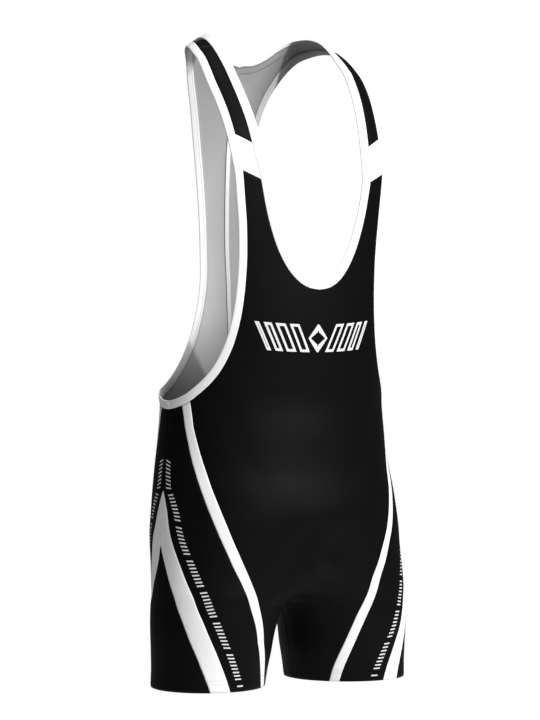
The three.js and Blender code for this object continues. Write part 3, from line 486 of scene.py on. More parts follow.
def rib_patch(table: list, ribs: Sequence[float], columns: int, flip: bool = False) -> Patch:
    """Grid between the two sides of a table of ribs.

    Args:
        table: rows of neck side, arm side and bulge.
        ribs: places in the table, one for each row of the grid.
        columns: steps across.
        flip: turns the grid's faces over.

    Returns:
        The grid.
    """
    data = np.array(table, dtype=float)
    neck, arm = data[:, :3], data[:, 3:6]
    rows = []
    for rib in ribs:
        a, b = curve_point(neck, rib), curve_point(arm, rib)
        lo, hi = max(0, rib - 0.02), min(len(data) - 1, rib + 0.02)
        run = sum(curve_point(line, hi) - curve_point(line, lo) for line in (neck, arm))
        out = np.cross(b - a, run)
        out /= max(1e-9, np.linalg.norm(out))
        crown = np.interp(rib, np.arange(len(data)), data[:, 6])
        if out @ np.array([0, a[1], 0.25 * abs(a[1])]) < 0:
            out = -out
        u = spread(float(np.linalg.norm(b - a)), columns)[:, None]
        rows.append(a + (b - a) * u + out * crown * 4 * u * (1 - u))
    return Patch(np.array(rows), flip)


def coons(left: np.ndarray, right: np.ndarray, low: np.ndarray, high: np.ndarray,
          u: np.ndarray, v: np.ndarray) -> np.ndarray:
    """Flat patch filled in between four edges, which meet at its corners.

    Args:
        left, right: edges at u 0 and 1, one point for each v.
        low, high: edges at v 0 and 1, one point for each u.
        u, v: shares across and up.

    Returns:
        Points by v and then u.
    """
    a, b = u[None, :, None], v[:, None, None]
    return ((1 - a) * left[:, None] + a * right[:, None] + (1 - b) * low[None] + b * high[None]
            - (1 - a) * (1 - b) * low[0] - a * (1 - b) * low[-1]
            - (1 - a) * b * high[0] - a * b * high[-1])


class Web:
    """A node material with short calls to add to it."""

    def __init__(self, name: str) -> None:
        """Starts the material.

        Args:
            name: the material's name.
        """
        self.material = bpy.data.materials.new(name)
        self.material.use_nodes = True
        self.nodes = self.material.node_tree.nodes
        self.links = self.material.node_tree.links
        self.shader = self.nodes["Principled BSDF"]
        self.place = self.add("TexCoord")

    def join(self, value: object, socket: bpy.types.NodeSocket) -> None:
        """Links an output to a socket, or sets a plain value on it."""
        if isinstance(value, bpy.types.NodeSocket):
            self.links.new(value, socket)
        else:
            socket.default_value = value

    def look(self, values: dict[str, object]) -> None:
        """Links or sets inputs of the shader by their names."""
        for name, value in values.items():
            self.join(value, self.shader.inputs[name])

    def add(self, kind: str, **inputs: object) -> bpy.types.Node:
        """Adds a shader node of a kind, with its named inputs linked or set."""
        node = self.nodes.new(f"ShaderNode{kind}")
        for name, value in inputs.items():
            self.join(value, node.inputs[name])
        return node

    def math(self, operation: str, *values: object, clamp: bool = False) -> bpy.types.NodeSocket:
        """A math node.

        Args:
            operation: the node's operation.
            values: its inputs in order, each an output or a number.
            clamp: holds the result between 0 and 1.

        Returns:
            The result.
        """
        node = self.add("Math")
        node.operation = operation
        node.use_clamp = clamp
        for i, value in enumerate(values):
            self.join(value, node.inputs[i])
        return node.outputs[0]

    def blend(self, factor: object, first: object, second: object) -> bpy.types.NodeSocket:
        """A colour between two colours."""
        node = self.add("Mix")
        node.data_type = "RGBA"
        for value, name in ((factor, 0), (first, 6), (second, 7)):
            self.join(value, node.inputs[name])
        return node.outputs[2]

    def wave(self, vector: bpy.types.NodeSocket, axis: str, wobble: float) -> bpy.types.NodeSocket:
        """Even ridges along one axis of the cloth's own map.

        Args:
            vector: the scaled map.
            axis: X for the knit's columns or Y for its rows.
            wobble: how uneven they are.

        Returns:
            The ridges' height.
        """
        node = self.add("TexWave", Scale=0.5, Distortion=wobble, Detail=1.0, Vector=vector)
        node.wave_type = "BANDS"
        node.bands_direction = axis
        return node.outputs["Fac"]

    def painted_shade_masks(self) -> tuple[bpy.types.NodeSocket, bpy.types.NodeSocket]:
        """Where painted shade darkens the inner face: low at the flanks and over the shoulders.

        Returns:
            Two masks that are 1 there and 0 elsewhere, with soft edges.
        """
        split = self.add("SeparateXYZ", Vector=self.place.outputs["Object"])
        x, z = self.math("ABSOLUTE", split.outputs[0]), split.outputs[2]
        rise, fall = self.math("MULTIPLY", x, FLANK_SLOPE), self.math("ADD", z, FLANK_LOW)
        slope, away = self.math("SUBTRACT", rise, fall), self.math("SUBTRACT", x, CAP_OUT)
        flank_shade = self.math("MULTIPLY_ADD", slope, 1 / FLANK_SOFT, 0.5, clamp=True)
        side = self.math("MULTIPLY_ADD", away, 1 / CAP_SOFT, 0.5, clamp=True)
        low = self.math("MULTIPLY_ADD", self.math("SIGN", split.outputs[0]), -CAP_UNEVEN, CAP_LOW)
        over = self.math("SUBTRACT", z, low)
        top = self.math("MULTIPLY_ADD", over, 1 / CAP_FADE, 0.5, clamp=True)
        return flank_shade, self.math("MULTIPLY", side, top)


@dataclass(frozen=True)
class Knit:
    """A knit: its tones, gloss and loops, and for a lining its levels of painted shade at flanks
    and shoulders.
    """

    name: str
    colour: tuple[float, float, float]
    second: tuple[float, float, float]
    roughness: float
    sheen: float
    specular: float = 0.25
    loops: float = 1100.0
    relief: float = 0.05
    flank_shade: float | None = None
    cap: float | None = None

    def material(self) -> bpy.types.Material:
        """Builds the node material.

        Returns:
            The finish, with knit rows that follow the piece's own map.
        """
        web = Web(self.name)
        spot = web.place.outputs["Object"]
        web.look({"Roughness": self.roughness, "Sheen Weight": self.sheen, "Sheen Roughness": 0.4,
                  "Specular IOR Level": self.specular})
        scale = (self.loops, self.loops * 0.75, 1)
        scaled = web.add("Mapping", Scale=scale, Vector=web.place.outputs["UV"])
        loops = web.math("MULTIPLY", web.wave(scaled.outputs[0], "X", 1.2),
                         web.wave(scaled.outputs[0], "Y", 0.8))
        if self.flank_shade is None:
            cloud = web.add("TexNoise", Scale=34.0, Detail=3.0, Vector=spot)
            grain_and_shade = web.math("MULTIPLY_ADD", loops, 0.45, cloud.outputs["Fac"], clamp=True)
        else:
            # For a lining, painted shade: a fade from the first tone high up to the second lower
            # down, darker higher up.
            height = web.add("SeparateXYZ", Vector=spot).outputs[2]
            grain_and_shade = web.math("MULTIPLY_ADD", height, -1 / SHADE_FADE_RUN, -SHADE_FADE_TOP, clamp=True)
        tone = web.blend(grain_and_shade, (*self.colour, 1), (*self.second, 1))
        # Painted shade: the lining turns darker low at the flanks and over the shoulders.
        if self.flank_shade is not None:
            for mask, level in zip(web.painted_shade_masks(), (self.flank_shade, self.cap)):
                tone = web.blend(mask, tone, (level, level, level, 1))
        bump = web.add("Bump", Strength=0.35, Distance=self.relief * MM, Height=loops)
        web.look({"Base Color": tone, "Normal": bump.outputs["Normal"]})
        return web.material


def grey(level: float, blue: float = 0.0) -> tuple[float, float, float]:
    """A grey, with a little more or less blue in it."""
    return level, level, level + blue


FINISHES = {
    "black": Knit("black_knit", grey(0.0012, 0.0001), grey(0.0024, 0.0001), 0.55, 0.004, 0.07),
    "white": Knit("white_knit", grey(0.80), grey(0.88, -0.01), 0.72, 0.05),
    "binding": Knit("binding_knit", grey(0.78), grey(0.88, -0.01), 0.75, 0.05, loops=1500.0),
    # The lining and the binding's inner face carry painted shade: their last two numbers are darker
    # levels at the flanks and over the shoulders.
    "inside": Knit("pale_inside_painted_shade", grey(0.30), grey(0.54), 0.85, 0.03, flank_shade=0.27, cap=0.13),
    "binding_inside_painted_shade": Knit("binding_inside_painted_shade", grey(0.82), grey(0.88, -0.01), 0.8, 0.03, loops=1500.0,
                           flank_shade=0.52, cap=0.19),
    "thread": Knit("white_thread", grey(0.66), grey(0.78, -0.01), 0.6, 0.1, loops=3000.0),
    "bright_thread": Knit("bright_thread", grey(0.93), grey(0.95), 0.5, 0.1, loops=3000.0),
    "grey_thread": Knit("grey_thread", grey(0.30), grey(0.38), 0.6, 0.1, loops=3000.0),
    "dark_thread": Knit("dark_thread", grey(0.004), grey(0.008), 0.6, 0.02, 0.1, loops=3000.0),
    "print": Knit("white_print", grey(0.66), grey(0.74), 0.55, 0.0, loops=900.0, relief=0.02),
    "print_dark": Knit("black_print", grey(0.0012, 0.0001), grey(0.0022), 0.55, 0.0, 0.07,
                       relief=0.02),
}
MATERIALS: dict[str, bpy.types.Material] = {}


def finish(name: str) -> bpy.types.Material:
    """The named finish's material, made once."""
    if name not in MATERIALS:
        MATERIALS[name] = FINISHES[name].material()
    return MATERIALS[name]


@dataclass(frozen=True)
class Trough:
    """A soft crease in the cloth: its middle, direction, half sizes and depth in mm."""

    x: float
    z: float
    angle: float
    long: float
    wide: float
    deep: float
    front: bool = True

    def push(self, p: np.ndarray) -> float:
        """How far the cloth is pushed in at a point."""
        if (p[1] < 0) != self.front:
            return 0.0
        dx, dz = p[0] - self.x, p[2] - self.z
        c, s = math.cos(math.radians(self.angle)), math.sin(math.radians(self.angle))
        a, b = (dx * c + dz * s) / self.long, (-dx * s + dz * c) / self.wide
        return self.deep * math.exp(-a * a - b * b)

    def both(self) -> tuple["Trough", ...]:
        """The crease and its mirror on the other half, or the crease alone on the middle line."""
        return (self, replace(self, x=-self.x, angle=-self.angle)) if self.x else (self,)


TROUGHS = [trough for crease in (
    Trough(28, -598, 62, 40, 15, 1.8), Trough(58, -640, 24, 30, 9, 1.2),
    Trough(0, -520, 0, 70, 22, 0.9), Trough(0, -452, 0, 60, 18, -0.7),
    Trough(92, -470, 68, 46, 14, 0.8), Trough(40, -655, 30, 34, 9, 1.6, False),
    Trough(0, -590, 90, 60, 10, 2.2, False), Trough(0, -400, 0, 80, 16, 1.2, False),
    Trough(70, -700, 12, 40, 7, 0.6),
) for trough in crease.both()]


def place(name: str, bm: bmesh.types.BMesh, finishes: Sequence[str]) -> bpy.types.Object:
    """Makes a finished grid into a piece of the garment's one body.

    Args:
        name: the piece's name.
        bm: the grid, which is used up.
        finishes: the names of its finishes in order.

    Returns:
        The piece.
    """
    mesh = bpy.data.meshes.new(name)
    bm.to_mesh(mesh)
    bm.free()
    for finish_name in finishes:
        mesh.materials.append(finish(finish_name))
    piece = bpy.data.objects.new(name, mesh)
    bpy.context.scene.collection.objects.link(piece)
    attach(piece, "root")
    return piece


def bm_grid(patch: Patch) -> bmesh.types.BMesh:
    """A bmesh grid laid onto a patch, with a UV map in metres.

    Args:
        patch: the grid of points.

    Returns:
        The laid grid.
    """
    rows = patch.rows
    n, m = rows.shape[:2]
    bm = bmesh.new()
    uv = bm.loops.layers.uv.new("Cloth")
    bmesh.ops.create_grid(bm, x_segments=m - 1, y_segments=n - 1, size=0.5, calc_uvs=False)
    bm.verts.ensure_lookup_table()
    drops = np.linalg.norm(np.diff(rows[:, m // 2], axis=0), axis=1)
    down = np.concatenate([[0], np.cumsum(drops)])
    steps = np.linalg.norm(np.diff(rows, axis=1), axis=2)
    across = np.concatenate([np.zeros((n, 1)), np.cumsum(steps, axis=1)], axis=1)
    cells: dict[int, tuple[float, float]] = {}
    for vert in bm.verts:
        j = int(round((vert.co.x + 0.5) * (m - 1)))
        i = int(round((vert.co.y + 0.5) * (n - 1)))
        cells[vert.index] = (float(across[i, j]) * MM, float(down[i]) * MM)
        vert.co = Vector(rows[i, j]) * MM
    for face in bm.faces:
        for loop in face.loops:
            loop[uv].uv = cells[loop.vert.index]
    if patch.flip:
        bmesh.ops.reverse_faces(bm, faces=bm.faces)
    return bm


@dataclass
class ClothPiece:
    """One panel of cloth: its node, its grid, its finishes and how its edges roll in."""

    node: str
    bm: bmesh.types.BMesh
    outer: str
    inner: str = "inside"
    slot: str | None = None
    wall: float = WALL
    roll: float = 0.45
    halves: int = 1

    def cut(self) -> tuple[float, float, float]:
        """Width, length and area of the flat cloth, in metres.

        Returns:
            The cut's two sides and its area, kept within what a cut can be.
        """
        uv = self.bm.loops.layers.uv["Cloth"]
        spots = np.array([loop[uv].uv[:] for face in self.bm.faces for loop in face.loops])
        width, length = (float(v) for v in np.ptp(spots, axis=0))
        area = sum(face.calc_area() for face in self.bm.faces)
        width = max(width * self.halves, LEAST_SIDE)
        length = max(length, LEAST_SIDE, area / width)
        return min(width, area / LEAST_SHARE / length), length, area

    def roll_edges(self) -> None:
        """Presses the creases and the seam edges into the cloth."""
        bm = self.bm
        bm.normal_update()
        edge = {v for v in bm.verts if v.is_boundary}
        short = [(v, e) for v in edge for e in v.link_edges if e.calc_length() < ROLL_REACH]
        near = {e.other_vert(v) for v, e in short} - edge
        moves = []
        for vert in bm.verts:
            p = np.array(vert.co) / MM
            depth = sum(t.push(p) for t in TROUGHS)
            if vert in edge:
                depth += self.roll
            elif vert in near:
                depth += 0.25 * self.roll
            moves.append((vert, vert.co - vert.normal * depth * MM))
        for vert, spot in moves:
            vert.co = spot

    def build(self) -> bpy.types.Object:
        """Returns:
            The finished object.
        """
        self.roll_edges()
        for face in self.bm.faces:
            face.smooth = True
        width, length, area = self.cut()
        piece = place(f"{self.node}_cloth", self.bm, (self.outer, self.inner))
        wall = piece.modifiers.new("wall", "SOLIDIFY")
        wall.thickness = self.wall * MM
        wall.offset = -1
        wall.material_offset = 1
        wall.use_rim = True
        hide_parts(self.node)
        faces = len(piece.data.polygons)
        LOG.info("%s: %.0f by %.0f mm, %d faces", piece.name, width / MM, length / MM, faces)
        return piece


def half_panel(node: str, side: Side, patch: Patch, colour: str) -> bpy.types.Object:
    """Builds one half's panel.

    Args:
        node: the node's name without its side.
        side: the half.
        patch: the panel's grid on the left half.
        colour: its outer finish.

    Returns:
        The panel.
    """
    patch = patch if side is Side.LEFT else patch.mirrored()
    return ClothPiece(f"{node}_{side.tag}", bm_grid(outward(patch)), colour).build()


@dataclass
class Trunk:
    """Front body and the two backs."""

    columns: int = 44
    back_columns: int = 34
    bib_rows: int = 66

    def bib(self) -> np.ndarray:
        """Upper half of the front on the left, as rows from the neck down to the waist."""
        low = self.lower_front()[0]
        u = front_shares(self.columns)
        neck = dense(np.array([(x, 0, z) for x, z in NECK_FRONT]), CURVE_STEPS)
        arm_top = np.array([ARM_FRONT[-1][0], 0, ARM_FRONT[-1][1]])
        top = []
        for t in u / NECK_SHARE:
            if t <= 1:
                top.append(along(neck, [min(1, 0.35 * t * t + 0.65 * t)])[0])
            else:
                way = (arm_top - neck[-1]) * (t - 1) * NECK_SHARE / (1 - NECK_SHARE)
                top.append(neck[-1] + way)
        top = np.array(top)
        top[:, 2] -= GAP
        shares = np.linspace(1, 0, DIP_ROWS)
        stripe = np.array([FORM.arm_point("front stripeIn", s, -GAP) for s in shares])
        stripe[:, 1] = 0
        arm = dense(np.array([stripe[-1]] + [(x, 0, z) for x, z in ARM_FRONT]), CURVE_STEPS)
        arm[-1] = top[-1]
        v = np.concatenate([np.linspace(0, 0.985, self.bib_rows - 3), [0.992, 0.997, 1.0]])
        low_v, high_v = v[:DIP_ROWS] / v[DIP_ROWS], (v[DIP_ROWS:] - v[DIP_ROWS]) / (1 - v[DIP_ROWS])
        right = np.concatenate([along(stripe, low_v), along(arm, high_v)])
        flat = low.copy()
        flat[:, 1] = 0
        points = coons(along(np.array([flat[0], top[0]]), v), right, flat, top, u, v)
        points[0, :, 1] = low[:, 1]
        for row in points[1:]:
            row[:, 1] = FORM.chest_y(row[:, 0], row[:, 2])
        return points[::-1]

    def lower_front(self) -> np.ndarray:
        """Lower half of the front on the left, from the waist row down to the hem."""
        rows = []
        for z in levels():
            gap = 0 if z > Z_CROTCH + NEAR else 2 * GAP
            a, b = FORM.line("frontMiddle", z) + gap, FORM.line("front stripeIn", z) - GAP
            row = FORM.on(z, a + (b - a) * front_shares(self.columns))
            if z >= Z_CROTCH - NEAR:
                row[0, 0] = 0
            rows.append(row)
        return np.array(rows)

    def front(self) -> bpy.types.Object:
        """The front body as one piece, both halves joined down to the crotch."""
        bm = bm_grid(Patch(np.concatenate([self.bib()[:-1], self.lower_front()]), True))
        bmesh.ops.mirror(bm, geom=bm.verts[:] + bm.edges[:] + bm.faces[:], axis="X", merge_dist=-1)
        middle = [v for v in bm.verts if abs(v.co.x) < 1e-7]
        bmesh.ops.remove_doubles(bm, verts=middle, dist=1e-6)
        bmesh.ops.recalc_face_normals(bm, faces=bm.faces)
        if sum(f.normal.y * f.calc_area() for f in bm.faces) > 0:
            bmesh.ops.reverse_faces(bm, faces=bm.faces)
        return ClothPiece("front_body", bm, "black", halves=2).build()

    def upper_back(self) -> np.ndarray:
        """The left back's rows from the shoulder piece down to the armhole's foot."""
        ribs = np.concatenate([np.linspace(YOKE_RIB, NAPE_RIB, NAPE_ROW + 1),
                               np.linspace(NAPE_RIB, len(BACK) - 1, 64)[1:]])
        rows = rib_patch(BACK, ribs, self.back_columns).rows
        rows[0] += (rows[1] - rows[0]) * 0.02
        for row, rib in zip(rows, ribs):
            if rib > ROUND_FROM - 1:
                share = float(ease((rib - ROUND_FROM + 1) / 2))
                row[:, 1] += share * (FORM.loins_y(row[:, 0], row[:, 2]) - row[:, 1])
            if rib >= NAPE_RIB - 1e-6:
                row[:, 0] = np.maximum(row[:, 0], GAP)
        return rows

    def lower_back(self) -> np.ndarray:
        """The left back's rows from the waist row down to the hem."""
        rows = []
        for z in levels():
            a, b = FORM.line("backMiddle", z) - GAP, FORM.line("back stripeIn", z) + GAP
            row = FORM.on(z, a + (b - a) * spread(BACK_WIDE, self.back_columns))
            if z >= Z_CROTCH - NEAR:
                row[:, 0] = np.maximum(row[:, 0], GAP)
            rows.append(row)
        return np.array(rows)

    def back_rows(self) -> np.ndarray:
        """The left back's rows from the shoulder piece down to the hem."""
        rows, low = self.upper_back(), self.lower_back()
        v, bend = np.linspace(0, 1, 12), 5
        around = np.linspace(60, FORM.line("back stripeIn", Z_ARM) + GAP, 5)
        wide, table = FORM.section(-420)[0][HALF_STEPS:, 0], FORM.section(-423)[1][HALF_STEPS:]
        around[0] = float(np.interp(-BACK[-1][3], -wide, table))
        dips = np.array([FORM.on(float(ARM_DIP("z", r)), np.array([r]))[0] for r in around[1:]])
        side = np.concatenate([[rows[-1][-1]], dips])
        shares = np.linspace(0, 1, DIP_ROWS)
        stripe = np.array([FORM.arm_point("back stripeIn", s, GAP) for s in shares])
        upper, lower = v[:bend + 1] / v[bend], (v[bend + 1:] - v[bend]) / (1 - v[bend])
        right = np.concatenate([along(side, upper), along(stripe, lower)])
        top, bottom = rows[-1].copy(), low[0].copy()
        right[:, 1] = top[:, 1] = bottom[:, 1] = 0
        left = along(np.array([top[0], bottom[0]]), v)
        between = coons(left, right, top, bottom, spread(BACK_WIDE, self.back_columns), v)
        for row in between:
            row[:, 1] = FORM.loins_y(row[:, 0], row[:, 2])
        return np.concatenate([rows, between[1:-1], low])


def outward(patch: Patch) -> Patch:
    """Turns a patch so that its faces look away from the garment's middle line.

    Args:
        patch: a patch of either half.

    Returns:
        The patch, turned over where its faces looked in.
    """
    rows = patch.rows
    n, m = rows.shape[:2]
    total = 0.0
    for i in range(0, n - 1, 3):
        for j in range(0, m - 1, 3):
            a, b, c = rows[i, j], rows[i, j + 1], rows[i + 1, j]
            normal = np.cross(b - a, c - a)
            if patch.flip:
                normal = -normal
            middle = LEG_MIDDLE * np.sign(a[0]) if a[2] < Z_CROTCH else 0.35 * a[0]
            rise = 0.0 if a[2] < Z_SHOULDER else 0.6 * (a[2] + 160)
            total += float(normal @ np.array([a[0] - middle, a[1], rise]))
    return patch if total > 0 else Patch(rows, not patch.flip)


@dataclass
class SidePanels:
    """Stripes, black side panels, pointed stripes and wedges of one half."""

    side: Side
    plan: tuple[tuple[str, str, str, int, float | None, str], ...] = (
        ("front_stripe", "front stripeIn", "front stripeOut", 8, None, "white"),
        ("side_front", "front stripeOut", "front chevronOut", 18, None, "black"),
        ("chevron_front", "front chevronOut", "front chevronIn", 10, Z_APEX, "white"),
        ("wedge_front", "front chevronIn", "side", 16, Z_WEDGE, "black"),
        ("wedge_back", "side", "back chevronIn", 16, Z_WEDGE, "black"),
        ("chevron_back", "back chevronIn", "back chevronOut", 10, Z_APEX, "white"),
        ("side_back", "back chevronOut", "back stripeOut", 18, None, "black"),
        ("back_stripe", "back stripeOut", "back stripeIn", 8, None, "white"),
    )

    def build(self) -> None:
        """Makes every panel of this half."""
        for node, start, end, columns, top, colour in self.plan:
            half_panel(node, self.side, lower_patch(start, end, columns, top), colour)


@dataclass
class Shoulder:
    """White band, front strap and shoulder piece of one half."""

    side: Side

    def build(self) -> None:
        """Makes the three pieces."""
        for node, table, ribs, colour in (
            ("strap_band", STRAP, np.linspace(0.004, 1.996, 14), "white"),
            ("front_strap", STRAP, np.linspace(2.004, 5.997, 28), "black"),
            ("shoulder", BACK, np.linspace(0.003, YOKE_RIB - 0.003, 36), "black"),
        ):
            ribs = np.sort(np.concatenate([ribs, [ribs[0] + 0.05, ribs[-1] - 0.05]]))
            half_panel(node, self.side, rib_patch(table, ribs, STRAP_COLUMNS), colour)


@dataclass
class Binding:
    """A folded strip along a closed seam."""

    node: str
    seam: np.ndarray
    inside: np.ndarray
    width: float
    wrap: float
    turn: float
    edge: float = 1.2
    soften: int = 16
    frames: list[tuple[np.ndarray, np.ndarray, np.ndarray]] = field(default_factory=list)

    @property
    def at_arm(self) -> bool:
        """Whether the strip binds an armhole."""
        return self.node.startswith("armhole")

    def lay(self) -> None:
        """Works out the strip's direction across the seam and out of the cloth."""
        loop, inner = (np.concatenate([line, line[:1]]) for line in (self.seam, self.inside))
        sums = np.concatenate([[0], np.cumsum(np.linalg.norm(np.diff(loop, axis=0), axis=1))])
        want = np.linspace(0, sums[-1], BINDING_STEPS, endpoint=False)
        at, back = (np.stack([np.interp(want, sums, line[:, k]) for k in range(3)], axis=1)
                    for line in (loop, inner))
        for _ in range(2):
            at = at / 2 + (np.roll(at, 1, axis=0) + np.roll(at, -1, axis=0)) / 4
        run = np.roll(at, -2, axis=0) - np.roll(at, 2, axis=0)
        run /= np.linalg.norm(run, axis=1, keepdims=True)

        def squared(way: np.ndarray) -> np.ndarray:
            """Directions of length one, turned square to the seam."""
            way = way - run * np.sum(way * run, axis=1, keepdims=True)
            return way / np.linalg.norm(way, axis=1, keepdims=True)

        away = squared(at - back)
        reach = range(-self.soften, self.soften + 1)
        away = squared(sum(np.roll(away, k, axis=0) * (self.soften + 1 - abs(k)) for k in reach))
        up = np.cross(away, run) * self.turn
        self.frames = list(zip(at, away, up))

    def profile(self) -> list[tuple[float, float, int]]:
        """The folded strip's outline, round from the seam's outer side to its inner side.

        Returns:
            Rows of across, out, and the finish of the face that follows.
        """
        w, fold = self.width, self.width - self.wrap
        outer = [(-0.2, 0.1), (0.4, 0.4), (1.3, 0.5), (w * 0.35, 0.55), (w * 0.7, 0.55),
                 (w - 1.2, 0.5), (w - 0.45, 0.25), (w - 0.05, -0.25), (w, -0.6)]
        under = [(w - 0.05, -0.95), (w - 0.45, -1.45), (w - 1.2, -1.75), (fold + 0.5, -1.92),
                 (fold, -1.85)]
        lining = [(fold - 0.12, -1.52), (fold * 0.5, -1.6), (-0.05, -1.74), (-1.0, -1.42),
                  (-2.4, -1.12), (-2.0, -0.9), (0.05, -0.5)]
        return [(a, b, k) for k, line in enumerate((outer, under, lining)) for a, b in line]

    def build(self) -> bpy.types.Object:
        """Makes the strip as one closed ring."""
        self.lay()
        shape = self.profile()
        n, m = len(self.frames), len(shape)
        bm = bmesh.new()
        uv = bm.loops.layers.uv.new("Cloth")
        bmesh.ops.create_grid(bm, x_segments=m, y_segments=n, size=0.5)
        cells: dict[int, tuple[int, int]] = {}
        for vert in bm.verts:
            j = int(round((vert.co.x + 0.5) * m))
            i = int(round((vert.co.y + 0.5) * n))
            cells[vert.index] = (i, j)
            at, away, up = self.frames[i % n]
            w, h, _ = shape[j % m]
            vert.co = Vector(at + away * w + up * h) * MM
        for face in bm.faces:
            face.material_index = shape[min(cells[v.index][1] for v in face.verts)][2]
            face.smooth = True
            for loop in face.loops:
                i, j = cells[loop.vert.index]
                loop[uv].uv = (j * 2.0 * MM, i * 2.6 * MM)
        bmesh.ops.remove_doubles(bm, verts=bm.verts, dist=1e-6)
        bmesh.ops.recalc_face_normals(bm, faces=bm.faces)
        looks = ("binding", "binding_inside_painted_shade", "inside")
        piece = place(f"{self.node}_cloth", bm, looks)
        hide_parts(self.node)
        return piece

    def sew(self) -> None:
        """Adds the rows of stitches along the strip, and at an armhole the bar tack."""
        stitches(f"{self.node}_stitches", self.stitch_places(1.3, 0.52), FINE_STITCH, "thread")
        if self.at_arm:
            self.tack()
            inner = self.stitch_places(3.0, -1.9)
            stitches(f"{self.node}_inner_stitches", inner, WIDE_STITCH, "grey_thread")

    def tack(self) -> bpy.types.Object:
        """A short close row of stitches across the strip at the side seam."""
        side = FORM.on(Z_ARM, np.array([FORM.line("side", Z_ARM)]))[0] * np.array([self.turn, 1, 1])
        at, away, up = min(self.frames, key=lambda f: float(np.linalg.norm(f[0] - side)))
        run = np.cross(away, up)
        middle = at + away * self.width * 0.5 + up * 0.62
        spots = [(middle + run * k * 0.5, away) for k in (-0.6, 0.6)]
        return stitches(f"{self.node}_tack", spots, (self.width - 1.4, 1.0), "bright_thread")

    def stitch_places(self, across: float, out: float) -> list[tuple[np.ndarray, np.ndarray]]:
        """Middle and direction of each stitch along the strip.

        Args:
            across: distance from the seam.
            out: height over the cloth.

        Returns:
            One pair for each stitch.
        """
        line = np.array([at + away * across + up * out for at, away, up in self.frames])
        line = np.concatenate([line, line[:1]])
        count = int(float(np.linalg.norm(np.diff(line, axis=0), axis=1).sum()) / PITCH)
        spots = along(line, np.arange(count) / count)
        run = np.roll(spots, -1, axis=0) - np.roll(spots, 1, axis=0)
        return [(p, r / np.linalg.norm(r)) for p, r in zip(spots, run)]


def stitches(name: str, places: list[tuple[np.ndarray, np.ndarray]], size: tuple[float, float],
             colour: str) -> bpy.types.Object:
    """Many small rounded stitches as one piece.

    Args:
        name: the piece's name.
        places: middle and direction of each stitch.
        size: length and thickness in millimetres.
        colour: the thread's finish.

    Returns:
        The stitches.
    """
    bm = bmesh.new()
    bm.loops.layers.uv.new("Cloth")
    for middle, run in places:
        turn = Vector(run).to_track_quat("X", "Z").to_matrix().to_4x4()
        grow = Matrix.Diagonal((size[0] / 2 * MM, size[1] / 2 * MM, size[1] / 2 * MM, 1))
        at = Matrix.Translation(Vector(middle) * MM)
        bmesh.ops.create_cube(bm, size=1.5, matrix=at @ turn @ grow)
    for face in bm.faces:
        face.smooth = True
    piece = place(name, bm, (colour,))
    LOG.info("%s: %d stitches", name, len(places))
    return piece


def surface_frame(z: float, around: float) -> tuple[np.ndarray, np.ndarray, np.ndarray]:
    """Point, way round and way out of the lower form on the left half."""
    p = FORM.on(z, np.array([around - 0.5, around, around + 0.5]))
    turn = (p[2] - p[0]) / np.linalg.norm(p[2] - p[0])
    drop = FORM.on(z - 1.0, np.array([around]))[0] - p[1]
    out = np.cross(turn, drop)
    out /= np.linalg.norm(out)
    middle = np.array([float(RINGS("cx", z)) if z < Z_CROTCH else 0.3 * p[1][0], -10.0, z])
    return p[1], turn, out if out @ (p[1] - middle) > 0 else -out


@dataclass
class Hem:
    """Two rows of stitches over a leg's bottom edge, in the colour of each panel."""

    side: Side
    rows: tuple[float, float] = (10.0, 14.0)
    ends: tuple[float, float] = (1.5, 1.0)

    def on_white(self, z: float, around: float) -> bool:
        """Whether a place on the leg lies on one of the white stripes."""
        for where in ("front", "back"):
            for outer, inner in (("stripeOut", "stripeIn"), ("chevronOut", "chevronIn")):
                ends = sorted((FORM.line(f"{where} {outer}", z), FORM.line(f"{where} {inner}", z)))
                if ends[0] < around < ends[1]:
                    return True
        return False

    def build(self) -> None:
        """Makes the stitches round one leg."""
        places: dict[str, list] = {"grey_thread": [], "dark_thread": []}
        flip = np.array([self.side.value, 1, 1])
        for up in self.rows:
            z = Z_HEM + up
            start, end = FORM.line("frontMiddle", z), FORM.line("backMiddle", z)
            for r in np.arange(start + self.ends[0], end - self.ends[1], PITCH):
                p, turn, out = surface_frame(z, float(r))
                colour = "grey_thread" if self.on_white(z, float(r)) else "dark_thread"
                places[colour].append(((p + out * 0.10) * flip, turn * flip))
        for colour, spots in places.items():
            stitches(f"hem_{colour}_{self.side.tag}", spots, FINE_STITCH, colour)


